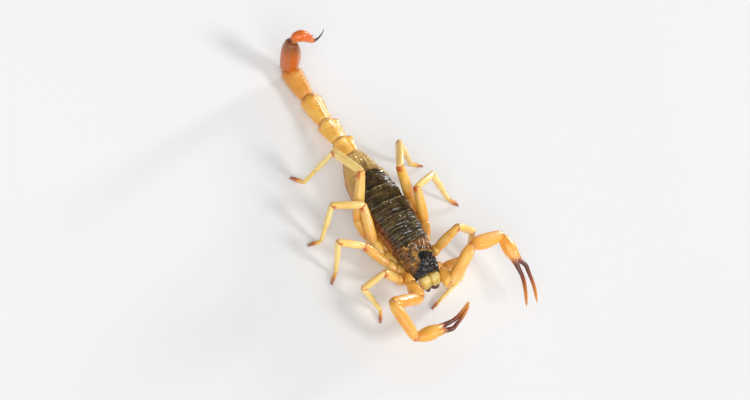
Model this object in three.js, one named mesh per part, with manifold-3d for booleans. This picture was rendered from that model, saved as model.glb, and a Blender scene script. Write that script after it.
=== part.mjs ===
// A yellow scorpion, life size, standing with its tail laid on the ground and its sting raised.
// Millimetres, +Z up. The head points towards -Y, the animal's left is +X, and the ground is z = 0.
// The body is drawn first with the joint between its two halves at y = 0, and is centred at the end.

import * as THREE from "three";
import { mergeVertices } from "three/addons/utils/BufferGeometryUtils.js";
import Module from "manifold-3d";

const wasm = await Module();
wasm.setup();

// ---- driving dimensions ----

const gap = 0.3; // clear space between one piece and the next
const carapaceLength = 6.5;
const trunkLength = 20.7;
const headMiddle = 5.2; // height of the carapace's side edge
const tailRoot = new THREE.Vector3(-0.3, trunkLength, 4.5);

// Legs, first to fourth pair: where each leaves its coxa, and the lengths of its trochanter, femur,
// patella, tibia and tarsus. The trochanter is one piece with the femur.
const hips = [[3.9, -4.9, 3.1], [4.2, -2.6, 3.7], [5.0, 0.9, 3.7], [5.5, 5.4, 3.4]];
const coxaRoots = [[1.3, -4.3, 3.3], [1.3, -3.2, 3.2], [1.4, -2.2, 3.1], [1.5, -1.4, 3.1]];
const legLengths = [
  [1.6, 4.6, 4.7, 6.0, 2.2],
  [2.0, 5.9, 5.4, 7.2, 2.3],
  [3.0, 7.4, 6.0, 8.4, 2.4],
  [3.8, 9.4, 6.8, 9.2, 2.6],
];
const legParts = ["trochanter", "femur", "patella", "tibia", "tarsus"];
const ankleHeight = 1.0;
const footHeight = 0.3;

// Leg pose in degrees: the swing of each length, from straight out (0) to the tail (90) or the head (-90),
// and for the first three the lift above the horizontal. The last two reach down to the ground.
// stretch is how much of its own length the femur shows.
const legPose = {
  right: [
    { swing: [22, 22, -8, -124, -65], lift: [38, 38, -32] },
    { swing: [51, 51, 26, -89, -45], lift: [20, 20, 11] },
    { swing: [73, 88, 22, -65, 9], lift: [18, 34, -2] },
    { swing: [75, 107, 75, -10, 52], lift: [24, 46, -21] },
  ],
  left: [
    { swing: [-28, -11, -119, -161, -160], lift: [-10, 28, -56] },
    { swing: [16, 16, -16, -100, -150], lift: [60, 60, -36] },
    { swing: [67, 95, 17, -45, -47], lift: [10, 42, -18], stretch: 0.97 },
    { swing: [84, 118, 52, -29, -21], lift: [18, 53, -21], stretch: 0.86 },
  ],
};

// Pedipalps: the root on its coxa, the lengths of its pieces and their pose, as for the legs.
const palpRoot = [3.4, -6.3, 4.7];
const palpPieces = ["trochanter", "femur", "patella", "hand"];
const palpLengths = [3.2, 7.8, 7.6, 5.9];
const palpPose = {
  right: { swing: [-88, 3.5, -102, -175], lift: [1, 24.9, -13, 2], roll: [0, 0, -50, -20], opening: 0 },
  left: { swing: [-83, 34.4, -1, -80], lift: [11, 28.4, -10, -13], roll: [0, 0, 0, 0], opening: 12 },
};
const fingerRadius = 0.36;

// Tail: five rings, then the sting's bulb. turn is to the animal's left, lift is above the horizontal,
// and roll twists a ring about its own length. The third and fourth rings lie on the ground.
const tailRings = [
  { length: 3.9, turn: -2, lift: -12, roll: 12, width: 3.8, depth: 3.3 },
  { length: 4.9, turn: -2, lift: -12, roll: 26, width: 3.8, depth: 3.35 },
  { length: 6.2, turn: -2, lift: -5, roll: 38, width: 3.8, depth: 3.45 },
  { length: 6.8, turn: -4, lift: 0, roll: 50, width: 3.9, depth: 3.6 },
  { length: 8.3, turn: -28, lift: 76, roll: 64, width: 3.7, depth: 3.6 },
];
const bulb = { length: 4.2, turn: 104, lift: 4 };

// ---- colours ----

const colours = {
  leg: { color: 0xe9b24a, roughness: 0.42, metalness: 0 },
  palp: { color: 0xeda53a, roughness: 0.4, metalness: 0 },
  finger: { color: 0x6b2a1c, roughness: 0.38, metalness: 0 },
  chelicera: { color: 0xc9a94c, roughness: 0.4, metalness: 0 },
  carapace: { color: 0x5b3f22, roughness: 0.45, metalness: 0 },
  trunk: { color: 0x4d3c20, roughness: 0.4, metalness: 0 },
  comb: { color: 0xe6c682, roughness: 0.5, metalness: 0 },
  tail: { color: 0xe3a23c, roughness: 0.4, metalness: 0 },
  tailTip: { color: 0xc96a24, roughness: 0.4, metalness: 0 },
};

// ---- solids ----

// A closed skin of rings round a line. place() puts each point, given its ring's section, its angle
// from the top towards the left, and its reach, which is 0 at the centre of an end and 1 on the skin.
function loft(sides, sections, place) {
  const rings = sections.length - 1;
  const drum = new THREE.CylinderGeometry(1, 1, 1, sides, rings);
  drum.deleteAttribute("normal");
  drum.deleteAttribute("uv");
  drum.clearGroups();
  const skin = mergeVertices(drum);
  const spots = skin.getAttribute("position");
  for (let i = 0; i < spots.count; i += 1) {
    const ring = Math.round((spots.getY(i) + 0.5) * rings);
    const reach = Math.round(Math.hypot(spots.getX(i), spots.getZ(i)));
    const angle = Math.atan2(spots.getZ(i), spots.getX(i));
    const spot = place(sections[ring], angle, reach);
    spots.setXYZ(i, spot.x, spot.y, spot.z);
  }
  return skin;
}

function solidOf(geometry) {
  const positions = geometry.getAttribute("position");
  return new wasm.Manifold(new wasm.Mesh({
    numProp: 3,
    vertProperties: new Float32Array(positions.array),
    triVerts: new Uint32Array(geometry.getIndex().array),
  }));
}

// The largest closed surface of a solid, as a geometry.
function geometryOf(solid) {
  const pieces = solid.decompose();
  const largest = pieces.reduce((a, b) => (b.volume() > a.volume() ? b : a));
  const mesh = largest.getMesh();
  const geometry = new THREE.BufferGeometry();
  geometry.setAttribute("position", new THREE.BufferAttribute(new Float32Array(mesh.vertProperties), 3));
  geometry.setIndex(new THREE.BufferAttribute(new Uint32Array(mesh.triVerts), 1));
  return geometry;
}

function fuse(body, additions) {
  const solid = additions.reduce((whole, piece) => whole.add(solidOf(piece)), solidOf(body));
  return geometryOf(solid);
}

function cone(radius, length, sides) {
  const spike = new THREE.ConeGeometry(radius, length, sides);
  spike.deleteAttribute("normal");
  spike.deleteAttribute("uv");
  spike.clearGroups();
  spike.translate(0, length / 2, 0);
  return mergeVertices(spike);
}

function bead(radii, place) {
  const ball = new THREE.SphereGeometry(1, 10, 6);
  ball.deleteAttribute("normal");
  ball.deleteAttribute("uv");
  ball.scale(...radii);
  ball.translate(...place);
  return mergeVertices(ball);
}

// A cone whose foot is sunk in the surface at foot, pointing along direction.
function thorn(foot, direction, radius, length, sides = 6) {
  const spike = cone(radius, length, sides);
  const upright = new THREE.Vector3(0, 1, 0);
  spike.applyQuaternion(new THREE.Quaternion().setFromUnitVectors(upright, direction.clone().normalize()));
  spike.translate(foot.x, foot.y, foot.z);
  return spike;
}

// ---- limbs ----

const radians = THREE.MathUtils.degToRad;
const sideSign = { right: -1, left: 1 };

function limbDirection(side, swing, lift) {
  const flat = Math.cos(radians(lift));
  const out = sideSign[side] * Math.cos(radians(swing)) * flat;
  return new THREE.Vector3(out, Math.sin(radians(swing)) * flat, Math.sin(radians(lift)));
}

function tailDirection(turn, lift) {
  const flat = Math.cos(radians(lift));
  const left = Math.sin(radians(turn)) * flat;
  return new THREE.Vector3(left, Math.cos(radians(turn)) * flat, Math.sin(radians(lift)));
}

// The turn that brings X along a direction with Z as near to the sky as it can be, then rolls about X.
function facing(direction, roll = 0) {
  const sky = new THREE.Vector3(0, 0, 1);
  const across = new THREE.Vector3().crossVectors(sky, direction).normalize();
  const back = new THREE.Vector3().crossVectors(direction, across);
  const axes = new THREE.Matrix4().makeBasis(direction, across, back);
  const turn = new THREE.Quaternion().setFromRotationMatrix(axes);
  return turn.multiply(new THREE.Quaternion().setFromAxisAngle(new THREE.Vector3(1, 0, 0), radians(roll)));
}

// The plane in which two pieces meet: its normal halves the angle between them.
function meeting(directionIn, directionOut) {
  return directionIn.clone().add(directionOut).normalize();
}

// One limb piece along local X, with its two ends cut along the planes in which it meets its neighbours.
// A section has its place along the piece from 0 to 1, its width and its depth. ridges() may raise the skin.
function limbSkin(piece) {
  const { length, normalIn, normalOut, startGap = gap / 2, endGap = gap / 2 } = piece;
  const { sides, sections, ridges, arch = 0 } = piece;
  return loft(sides, sections, (section, angle, reach) => {
    const raised = reach * (ridges ? ridges(angle, section.at) : 1);
    const y = (Math.sin(angle) * section.width * raised) / 2;
    const z = (Math.cos(angle) * section.depth * raised) / 2 + arch * Math.sin(Math.PI * section.at);
    const from = (startGap - normalIn.y * y - normalIn.z * z) / normalIn.x;
    const to = length + (-endGap - normalOut.y * y - normalOut.z * z) / normalOut.x;
    return new THREE.Vector3(from + section.at * (to - from), y, z);
  });
}

// The points, directions and turns of a chain of pieces.
function chain(start, directions, lengths, rolls = []) {
  const links = [];
  let point = start.clone();
  directions.forEach((direction, i) => {
    links.push({ start: point, direction, length: lengths[i], turn: facing(direction, rolls[i]) });
    point = point.clone().addScaledVector(direction, lengths[i]);
  });
  return links;
}

function localNormal(normal, turn) {
  return normal.clone().applyQuaternion(turn.clone().invert());
}

function linkPlanes(links, before) {
  return links.map((link, i) => {
    const previous = i === 0 ? before : links[i - 1].direction;
    const next = i === links.length - 1 ? link.direction : links[i + 1].direction;
    return {
      normalIn: localNormal(meeting(previous, link.direction), link.turn),
      normalOut: localNormal(meeting(link.direction, next), link.turn),
    };
  });
}

function placed(geometry, link) {
  return geometry.clone().applyQuaternion(link.turn).translate(link.start.x, link.start.y, link.start.z);
}

// Presses what would reach below the ground flat on it.
function settle(geometry, link) {
  const spots = geometry.getAttribute("position");
  const back = link.turn.clone().invert();
  const spot = new THREE.Vector3();
  for (let i = 0; i < spots.count; i += 1) {
    spot.fromBufferAttribute(spots, i).applyQuaternion(link.turn).add(link.start);
    if (spot.z < 0) {
      spot.z = 0;
      spot.sub(link.start).applyQuaternion(back);
      spots.setXYZ(i, spot.x, spot.y, spot.z);
    }
  }
  return geometry;
}

const scorpion = new THREE.Group();

function addMesh(parent, name, geometry, finish, link) {
  const mesh = new THREE.Mesh(geometry, new THREE.MeshStandardMaterial(finish));
  mesh.name = name;
  if (link) {
    mesh.position.copy(link.start);
    mesh.quaternion.copy(link.turn);
  }
  parent.add(mesh);
  return mesh;
}

// Sections from rows of place, width and depth.
function sectionsOf(rows, width = 1, depth = width) {
  return rows.map(([at, wide, deep]) => ({ at, width: wide * width, depth: (deep ?? wide) * depth }));
}

// ---- legs ----

// The basitarsus is the last part of the tibia piece.
const legShape = {
  trochanter: [[0, 0.8, 0.7], [0.35, 1.15, 0.92], [0.75, 1.15, 0.9], [1, 0.95, 0.8]],
  femur: [[0, 0.95, 0.8], [0.25, 1.32, 1.06], [0.65, 1.22, 1], [0.92, 0.94, 0.84], [1, 0.68, 0.62]],
  patella: [[0, 0.6], [0.12, 0.82], [0.5, 0.96], [0.88, 0.84], [1, 0.62]],
  tibia: [[0, 0.56], [0.1, 0.74], [0.35, 0.74], [0.54, 0.62], [0.6, 0.5], [0.92, 0.46], [1, 0.4]],
  tarsus: [[0, 0.38], [0.15, 0.44], [0.6, 0.42], [1, 0.34]],
};
const legWidth = 1.4;
const legDepth = 1.75;
const legGrowth = [0.92, 0.97, 1, 1.04]; // the hind legs are the stoutest
const clawLength = 0.6;

function legLinks(side, pair) {
  const { swing, lift, stretch = 1 } = legPose[side][pair];
  const lengths = legLengths[pair].map((length, i) => (i === 1 ? length * stretch : length));
  const [x, y, z] = hips[pair];
  const start = new THREE.Vector3(sideSign[side] * x, y, z);
  const directions = lift.map((angle, i) => limbDirection(side, swing[i], angle));
  const bendHeight = directions.reduce((height, direction, i) => height + direction.z * lengths[i], z);
  const tibiaLift = THREE.MathUtils.radToDeg(Math.asin((ankleHeight - bendHeight) / lengths[3]));
  const tarsusLift = THREE.MathUtils.radToDeg(Math.asin((footHeight - ankleHeight) / lengths[4]));
  directions.push(limbDirection(side, swing[3], tibiaLift), limbDirection(side, swing[4], tarsusLift));
  return chain(start, directions, lengths);
}

function coxaDirection(side, pair) {
  const root = new THREE.Vector3(sideSign[side] * coxaRoots[pair][0], coxaRoots[pair][1], coxaRoots[pair][2]);
  const hip = new THREE.Vector3(sideSign[side] * hips[pair][0], hips[pair][1], hips[pair][2]);
  return { root, length: hip.distanceTo(root), direction: hip.sub(root).normalize() };
}

const coxaShape = [[0, 1.7, 1.5], [0.5, 1.9, 1.9], [0.85, 1.5, 1.7], [1, 1.1, 1.25]];

// The coxa's end is cut where the leg begins. spare makes it fatter, to clear a space for it.
function coxa(side, pair, legStart, spare = 0) {
  const { root, length, direction } = coxaDirection(side, pair);
  const link = { start: root, direction, turn: facing(direction) };
  const skin = limbSkin({
    length,
    normalIn: new THREE.Vector3(1, 0, 0),
    normalOut: localNormal(meeting(direction, legStart.direction), link.turn),
    endGap: gap / 2 - spare,
    sides: 10,
    sections: sectionsOf(coxaShape).map((section) => ({
      at: section.at,
      width: section.width + 2 * spare,
      depth: section.depth + 2 * spare,
    })),
  });
  return placed(skin, link);
}

// The femur with its trochanter, which meet at an angle.
function bentFemur(trochanter, femur, link, next) {
  const moved = placed(femur, next).translate(-link.start.x, -link.start.y, -link.start.z);
  return fuse(trochanter, [moved.applyQuaternion(link.turn.clone().invert())]);
}

function clawsAt(length) {
  const foot = new THREE.Vector3(length - 0.25, 0, 0.02);
  return [-1, 1].map((turn) => thorn(
    foot.clone().setY(turn * 0.08),
    new THREE.Vector3(1, turn * 0.45, -0.12),
    0.17,
    clawLength,
  ));
}

function addLeg(parent, side, pair, links) {
  const leg = new THREE.Group();
  const planes = linkPlanes(links, coxaDirection(side, pair).direction);
  const skins = links.map((link, i) => limbSkin({
    length: link.length,
    ...planes[i],
    startGap: i === 1 ? -0.05 : gap / 2,
    endGap: [-0.05, gap / 2, gap / 2, gap / 2, 0][i],
    sides: 8,
    sections: sectionsOf(legShape[legParts[i]], legWidth * legGrowth[pair], legDepth * legGrowth[pair]),
  }));
  const pieces = {
    femur: { skin: bentFemur(skins[0], skins[1], links[0], links[1]), link: links[0] },
    patella: { skin: skins[2], link: links[2] },
    tibia: { skin: skins[3], link: links[3] },
    tarsus: { skin: fuse(skins[4], clawsAt(links[4].length)), link: links[4] },
  };
  Object.entries(pieces).forEach(([piece, { skin, link }]) => {
    settle(skin, link);
    addMesh(leg, `leg_${side}_${pair + 1}_${piece}`, skin, colours.leg, link);
  });
  parent.add(leg);
}

// ---- pedipalps ----

const palpShape = {
  trochanter: [[0, 1.6, 1.5], [0.3, 2.1, 2.1], [0.8, 2.6, 2.4], [1, 1.75, 1.7]],
  femur: [[0, 1.5], [0.12, 2.1], [0.45, 2.25, 2.0], [0.9, 2.1, 1.9], [1, 1.6, 1.5]],
  patella: [
    [0, 1.4, 1.3], [0.1, 2.2, 1.8], [0.3, 2.95, 2.15],
    [0.6, 2.75, 2.1], [0.9, 1.9, 1.75], [1, 1.45, 1.35],
  ],
  hand: [[0, 1.2], [0.08, 1.75], [0.3, 2.6, 2.5], [0.55, 2.7, 2.6], [0.8, 2.3, 2.1], [1, 1.9, 1.35]],
};

function palpLinks(side) {
  const { swing, lift, roll } = palpPose[side];
  const start = new THREE.Vector3(sideSign[side] * palpRoot[0], palpRoot[1], palpRoot[2]);
  const directions = palpLengths.map((length, i) => limbDirection(side, swing[i], lift[i]));
  return chain(start, directions, palpLengths, roll);
}

const palpCoxaRoot = [1.7, -3.6, 4.3];

function palpCoxaDirection(side) {
  const root = new THREE.Vector3(sideSign[side] * palpCoxaRoot[0], palpCoxaRoot[1], palpCoxaRoot[2]);
  const end = new THREE.Vector3(sideSign[side] * palpRoot[0], palpRoot[1], palpRoot[2]);
  return { root, length: end.distanceTo(root), direction: end.sub(root).normalize() };
}

function palpCoxa(side, palpStart) {
  const { root, length, direction } = palpCoxaDirection(side);
  const link = { start: root, direction, turn: facing(direction) };
  const skin = limbSkin({
    length,
    normalIn: new THREE.Vector3(1, 0, 0),
    normalOut: localNormal(meeting(direction, palpStart.direction), link.turn),
    sides: 12,
    sections: sectionsOf([[0, 1.8], [0.6, 2.1, 2.2], [1, 1.6, 1.7]]),
  });
  return placed(skin, link);
}

// A finger follows a flat curve in the hand's own plane, out being the hand's outer side.
function fingerSkin(points, side, radii) {
  const outer = sideSign[side];
  const spine = new THREE.CatmullRomCurve3(points.map(([x, out]) => new THREE.Vector3(x, out * outer, 0)));
  const sections = radii.map((radius, i) => ({ at: i / (radii.length - 1), radius }));
  const sky = new THREE.Vector3(0, 0, 1);
  return loft(8, sections, (section, angle, reach) => {
    const spot = spine.getPointAt(section.at);
    const across = new THREE.Vector3().crossVectors(sky, spine.getTangentAt(section.at)).normalize();
    spot.addScaledVector(across, Math.sin(angle) * section.radius * reach);
    spot.z += Math.cos(angle) * section.radius * reach * 1.15;
    return spot;
  });
}

const fingerTaper = [1.2, 1.1, 1, 0.95, 0.9, 0.85, 0.75, 0.35].map((share) => share * fingerRadius);

function fixedFinger(side, handLength) {
  const points = [[-0.9, -0.45], [0, -0.52], [2.6, -0.9], [5.3, -2.1], [7.7, -3.7]];
  return fingerSkin(points.map(([x, out]) => [handLength + x, out]), side, fingerTaper);
}

// The movable finger stands bowed out at its root and turns about it by the opening.
function movableFinger(side, handLength, opening) {
  const root = new THREE.Vector2(0.18, 0.62);
  const points = [[0.18, 0.62], [1.3, 0.8], [2.9, 0.18], [5.2, -0.95], [7.8, -2.9]];
  const turned = points.map(([x, out]) => new THREE.Vector2(x, out).rotateAround(root, radians(opening)));
  return fingerSkin(turned.map((spot) => [handLength + spot.x, spot.y]), side, fingerTaper);
}

function addPalp(parent, side, links) {
  const palp = new THREE.Group();
  const planes = linkPlanes(links, palpCoxaDirection(side).direction);
  links.forEach((link, i) => {
    const piece = palpPieces[i];
    let skin = limbSkin({
      length: link.length,
      ...planes[i],
      sides: 12,
      sections: sectionsOf(palpShape[piece]),
    });
    if (piece === "hand") {
      skin = fuse(skin, [fixedFinger(side, link.length)]);
      const finger = movableFinger(side, link.length, palpPose[side].opening);
      addMesh(palp, `pedipalp_${side}_movable_finger`, finger, colours.finger, link);
    }
    addMesh(palp, `pedipalp_${side}_${piece}`, skin, colours.palp, link);
  });
  parent.add(palp);
}

// ---- head and carapace ----

// Rounds a circle towards a box: roundness 1 is a circle, and less is squarer.
function squared(value, roundness) {
  return Math.sign(value) * Math.abs(value) ** roundness;
}

const carapaceSections = [
  { y: -carapaceLength, width: 4.9, top: 6.45, bottom: 4.1 },
  { y: -carapaceLength + 0.35, width: 5.3, top: 6.85, bottom: 3.6 },
  { y: -5.0, width: 5.9, top: 7.3, bottom: 3.0 },
  { y: -3.4, width: 6.6, top: 7.55, bottom: 2.6 },
  { y: -1.6, width: 7.2, top: 7.75, bottom: 2.5 },
  { y: -0.45, width: 7.6, top: 7.8, bottom: 2.5 },
  { y: -gap / 2, width: 7.4, top: 7.65, bottom: 2.6 },
];

function carapaceSkin() {
  return loft(24, carapaceSections, (section, angle, reach) => {
    const up = Math.cos(angle);
    const half = (section.width / 2) * (up < -0.1 ? 0.8 : 1);
    const rise = up > 0
      ? (section.top - headMiddle) * squared(up, 0.85)
      : (headMiddle - section.bottom) * squared(up, 0.8);
    const side = squared(Math.sin(angle), 0.8) * half;
    return new THREE.Vector3(-side * reach, section.y, headMiddle + rise * reach);
  });
}

// The eye mound with its two median eyes, and three small eyes at each front corner.
function eyes() {
  const moundY = -3.9;
  const pieces = [bead([0.85, 1.1, 0.55], [0, moundY, 7.45])];
  [-1, 1].forEach((turn) => {
    pieces.push(bead([0.3, 0.32, 0.3], [turn * 0.5, moundY, 7.78]));
    for (let i = 0; i < 3; i += 1) {
      pieces.push(bead([0.2, 0.2, 0.2], [turn * (2.12 + 0.1 * i), -6.1 + 0.36 * i, 6.3 - 0.05 * i]));
    }
  });
  return pieces;
}

function addProsoma(parent, legs, palps) {
  const pieces = eyes();
  ["left", "right"].forEach((side) => {
    legs[side].forEach((links, pair) => pieces.push(coxa(side, pair, links[0])));
    pieces.push(palpCoxa(side, palps[side][0]));
  });
  pieces.push(bead([0.75, 1.0, 0.6], [0, -1.9, 2.75]));
  addMesh(parent, "prosoma", fuse(carapaceSkin(), pieces), colours.carapace);
}

// Each chelicera is a swollen base with two short toothed fingers crossing in front.
function addChelicera(parent, side) {
  const direction = new THREE.Vector3(0.1 - 0.05 * sideSign[side], -0.8, -0.6).normalize();
  const start = new THREE.Vector3(0.1 + sideSign[side] * 1.15, -carapaceLength - 0.1, 5.5);
  const link = { start, direction, turn: facing(direction) };
  const length = 2.35;
  const base = limbSkin({
    length,
    normalIn: localNormal(new THREE.Vector3(0, -1, 0), link.turn),
    normalOut: new THREE.Vector3(1, 0, 0),
    sides: 12,
    sections: sectionsOf([[0, 1.6], [0.25, 1.95], [0.7, 1.9], [0.92, 1.6], [1, 1.1]]),
  });
  const inward = -sideSign[side];
  // The outer finger bends in across the front of the inner one.
  const places = [[-0.3, 0.42, 0.1, 1.5], [0.45, 0.12, -0.3, 1.3]];
  const fingers = places.map(([across, turn, drop, reach]) => thorn(
    new THREE.Vector3(length - 0.7, across * inward, drop),
    new THREE.Vector3(1, turn * inward, -0.2),
    0.45,
    reach,
    8,
  ));
  addMesh(parent, `chelicera_${side}`, fuse(base, fingers), colours.chelicera, link);
}

// ---- trunk ----

// Seven overlapping back plates, each a little longer than the one before, over five belly plates.
const plateLengths = [1.5, 2.0, 2.5, 3.0, 3.3, 3.5, 4.9];
const plateStep = 0.2; // how far each back plate's rear edge stands over the next
// Sections along the trunk: half width, half height, height of the middle line and its bend to the side.
const trunkStations = [
  { y: 0, half: 3.85, rise: 2.55, height: 5.2, bend: 0 },
  { y: 3, half: 4.3, rise: 2.7, height: 5.1, bend: 0 },
  { y: 6.5, half: 4.6, rise: 2.85, height: 4.95, bend: -0.15 },
  { y: 11, half: 4.6, rise: 2.9, height: 4.7, bend: -0.35 },
  { y: 15, half: 4.25, rise: 2.75, height: 4.5, bend: -0.45 },
  { y: 18, half: 3.3, rise: 2.35, height: 4.45, bend: -0.4 },
  { y: trunkLength, half: 1.95, rise: 1.8, height: tailRoot.z, bend: tailRoot.x },
];

function trunkCurve(keyA, keyB) {
  const points = trunkStations.map((station) => new THREE.Vector3(station.y, station[keyA], station[keyB]));
  return new THREE.CatmullRomCurve3(points, false, "catmullrom");
}

const trunkGirth = trunkCurve("half", "rise");
const trunkLine = trunkCurve("height", "bend");

// The trunk's half width, half height, middle height and sideways bend at a place along it.
function trunkAt(y) {
  let low = 0;
  let high = 1;
  for (let i = 0; i < 20; i += 1) {
    const share = (low + high) / 2;
    if (trunkGirth.getPoint(share).x < y) {
      low = share;
    } else {
      high = share;
    }
  }
  const girth = trunkGirth.getPoint(low);
  const line = trunkLine.getPoint(low);
  return { half: girth.y, rise: girth.z, height: line.y, bend: line.z };
}

function trunkSections() {
  const sections = [];
  let front = 0;
  plateLengths.forEach((length, i) => {
    const last = i === plateLengths.length - 1;
    const stations = last
      ? [[0.12, -plateStep], [0.45, 0], [0.75, 0], [1, 0]]
      : [[0.12, -plateStep], [0.55, -0.25 * plateStep], [0.97, 0]];
    stations.forEach(([share, raised]) => {
      const y = front + share * length;
      sections.push({ y, ...trunkAt(y), raised });
    });
    front += length;
  });
  sections[0].y = gap / 2;
  sections[0].raised = -0.5 * plateStep;
  return sections;
}

// The back plates cover the upper side, the soft flank is drawn in, and the belly is flatter.
function trunkShape(section, angle) {
  const up = Math.cos(angle);
  const plate = up > 0.3 ? section.raised : 0.3 * section.raised;
  const flank = up < 0.3 && up > -0.3 ? -0.12 : 0;
  const half = section.half + plate + flank;
  const rise = (section.rise + plate) * (up > 0 ? squared(up, 0.85) : 0.95 * squared(up, 0.75));
  return { side: squared(Math.sin(angle), 0.85) * half, rise };
}

function addMesosoma(parent, legs) {
  const sections = trunkSections();
  const last = sections[sections.length - 1];
  const tailStart = tailDirection(tailRings[0].turn, tailRings[0].lift);
  const cut = meeting(new THREE.Vector3(0, 1, 0), tailStart);
  const skin = loft(32, sections, (section, angle, reach) => {
    const { side, rise } = trunkShape(section, angle);
    const spot = new THREE.Vector3(section.bend - side * reach, section.y, section.height + rise * reach);
    if (section === last) {
      const off = spot.clone().sub(tailRoot);
      spot.y = tailRoot.y + (-gap / 2 - cut.x * off.x - cut.z * off.z) / cut.y;
    }
    return spot;
  });
  let solid = solidOf(skin);
  ["left", "right"].forEach((side) => {
    solid = solid.subtract(solidOf(coxa(side, 3, legs[side][3][0], gap)));
    solid = solid.subtract(solidOf(coxa(side, 2, legs[side][2][0], gap)));
  });
  addMesh(parent, "mesosoma", geometryOf(solid), colours.trunk);
}

// The combs: a flat bar under the front of the trunk, with a row of pegs along its rear edge.
const comb = { length: 4.9, width: 0.8, depth: 0.6, teeth: 11, toothLength: 1.15, sweep: 52 };

function addPecten(parent, side) {
  const sweep = radians(comb.sweep);
  const direction = new THREE.Vector3(sideSign[side] * Math.cos(sweep), Math.sin(sweep), 0.02).normalize();
  const start = new THREE.Vector3(sideSign[side] * 0.35, 2.1, 1.75);
  const link = { start, direction, turn: facing(direction) };
  const bar = limbSkin({
    length: comb.length,
    normalIn: new THREE.Vector3(1, 0, 0),
    normalOut: new THREE.Vector3(1, 0, 0),
    sides: 8,
    sections: sectionsOf([[0, 1.0], [0.5, 1.05], [0.9, 0.8], [1, 0.6]], comb.width, comb.depth),
  });
  const rearward = sideSign[side];
  const teeth = [];
  for (let i = 0; i < comb.teeth; i += 1) {
    const along = (comb.length - 0.45) * ((i + 0.7) / comb.teeth);
    const reach = comb.toothLength * (1 - 0.35 * (i / comb.teeth));
    teeth.push(thorn(
      new THREE.Vector3(along, rearward * 0.1, 0),
      new THREE.Vector3(0.18, rearward, -0.02),
      0.24,
      reach,
    ));
  }
  addMesh(parent, `pecten_${side}`, fuse(bar, teeth), colours.comb, link);
}

// ---- tail ----

// Keels run along each ring: pairs on the back, the sides and the belly, with a furrow down the back.
const keels = [
  { at: 40, height: 0.075 },
  { at: 80, height: 0.05 },
  { at: 130, height: 0.05 },
  { at: 160, height: 0.045 },
];

function keelRidges(angle, share) {
  const degrees = THREE.MathUtils.radToDeg(Math.abs(Math.atan2(Math.sin(angle), Math.cos(angle))));
  const strength = Math.sin(Math.PI * THREE.MathUtils.clamp(0.08 + 0.9 * share, 0, 1)) ** 0.4;
  let raised = 1;
  keels.forEach((keel) => {
    raised += strength * keel.height * Math.exp(-(((degrees - keel.at) / 9) ** 2));
  });
  raised -= strength * 0.1 * Math.exp(-((degrees / 20) ** 2));
  return raised;
}

// A square-shouldered circle, as the rings are in cross section. The two back keels end in a rounded lobe.
function ringRidges(angle, share) {
  const square = (Math.abs(Math.cos(angle)) ** 4 + Math.abs(Math.sin(angle)) ** 4) ** -0.25;
  const degrees = THREE.MathUtils.radToDeg(Math.abs(Math.atan2(Math.sin(angle), Math.cos(angle))));
  const lobe = 0.15 * Math.exp(-(((degrees - 42) / 20) ** 2) - ((share - 0.8) / 0.15) ** 2);
  return square ** 0.55 * (keelRidges(angle, share) + lobe);
}

const ringShape = [[0, 0.72], [0.06, 0.82], [0.2, 0.88], [0.5, 0.95], [0.8, 1], [0.94, 1.02], [1, 0.86]];
const lastRingShape = [[0, 0.74], [0.08, 0.86], [0.3, 0.99], [0.6, 1], [0.85, 0.9], [0.96, 0.78], [1, 0.66]];
const sawTeeth = [0, 3, 5, 4, 0]; // on each back keel of each ring, growing towards its rear end

function sawOf(ring, i) {
  const teeth = [];
  for (let k = 0; k < sawTeeth[i]; k += 1) {
    const share = 0.4 + (0.48 * (k + 0.5)) / sawTeeth[i];
    const size = 0.42 + 0.04 * share * (k + 1);
    [-1, 1].forEach((turn) => {
      const across = turn * Math.sin(radians(38)) * ring.width * 0.5;
      const height = Math.cos(radians(38)) * ring.depth * 0.5 * 1.08;
      teeth.push(thorn(
        new THREE.Vector3(share * ring.length, across, height),
        new THREE.Vector3(0.55, turn * 0.35, 1),
        0.26,
        size,
      ));
    });
  }
  return teeth;
}

function tailLinks() {
  const rings = [...tailRings, bulb];
  const directions = rings.map((ring) => tailDirection(ring.turn, ring.lift));
  return chain(tailRoot, directions, rings.map((ring) => ring.length), rings.map((ring) => ring.roll ?? 0));
}

// The line of the bulb and sting as steps forward and steps up along the last ring, with the radius at
// each: a short neck, the humped bulb, then the thin sting that curves back up.
const telsonLine = [
  { forward: 0.06, up: 0.14, radius: 0.6 },
  { forward: 0.35, up: 0.8, radius: 0.84 },
  { forward: 0.8, up: 1.33, radius: 1.04 },
  { forward: 1.5, up: 1.55, radius: 1.1 },
  { forward: 2.6, up: 1.05, radius: 0.96 },
  { forward: 3.6, up: 0.1, radius: 0.66 },
  { forward: 4.3, up: -0.4, radius: 0.4 },
  { forward: 4.98, up: -0.03, radius: 0.29 },
  { forward: 5.6, up: 0.89, radius: 0.22 },
  { forward: 5.98, up: 1.98, radius: 0.15 },
  { forward: 6.11, up: 2.85, radius: 0.07 },
];

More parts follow.
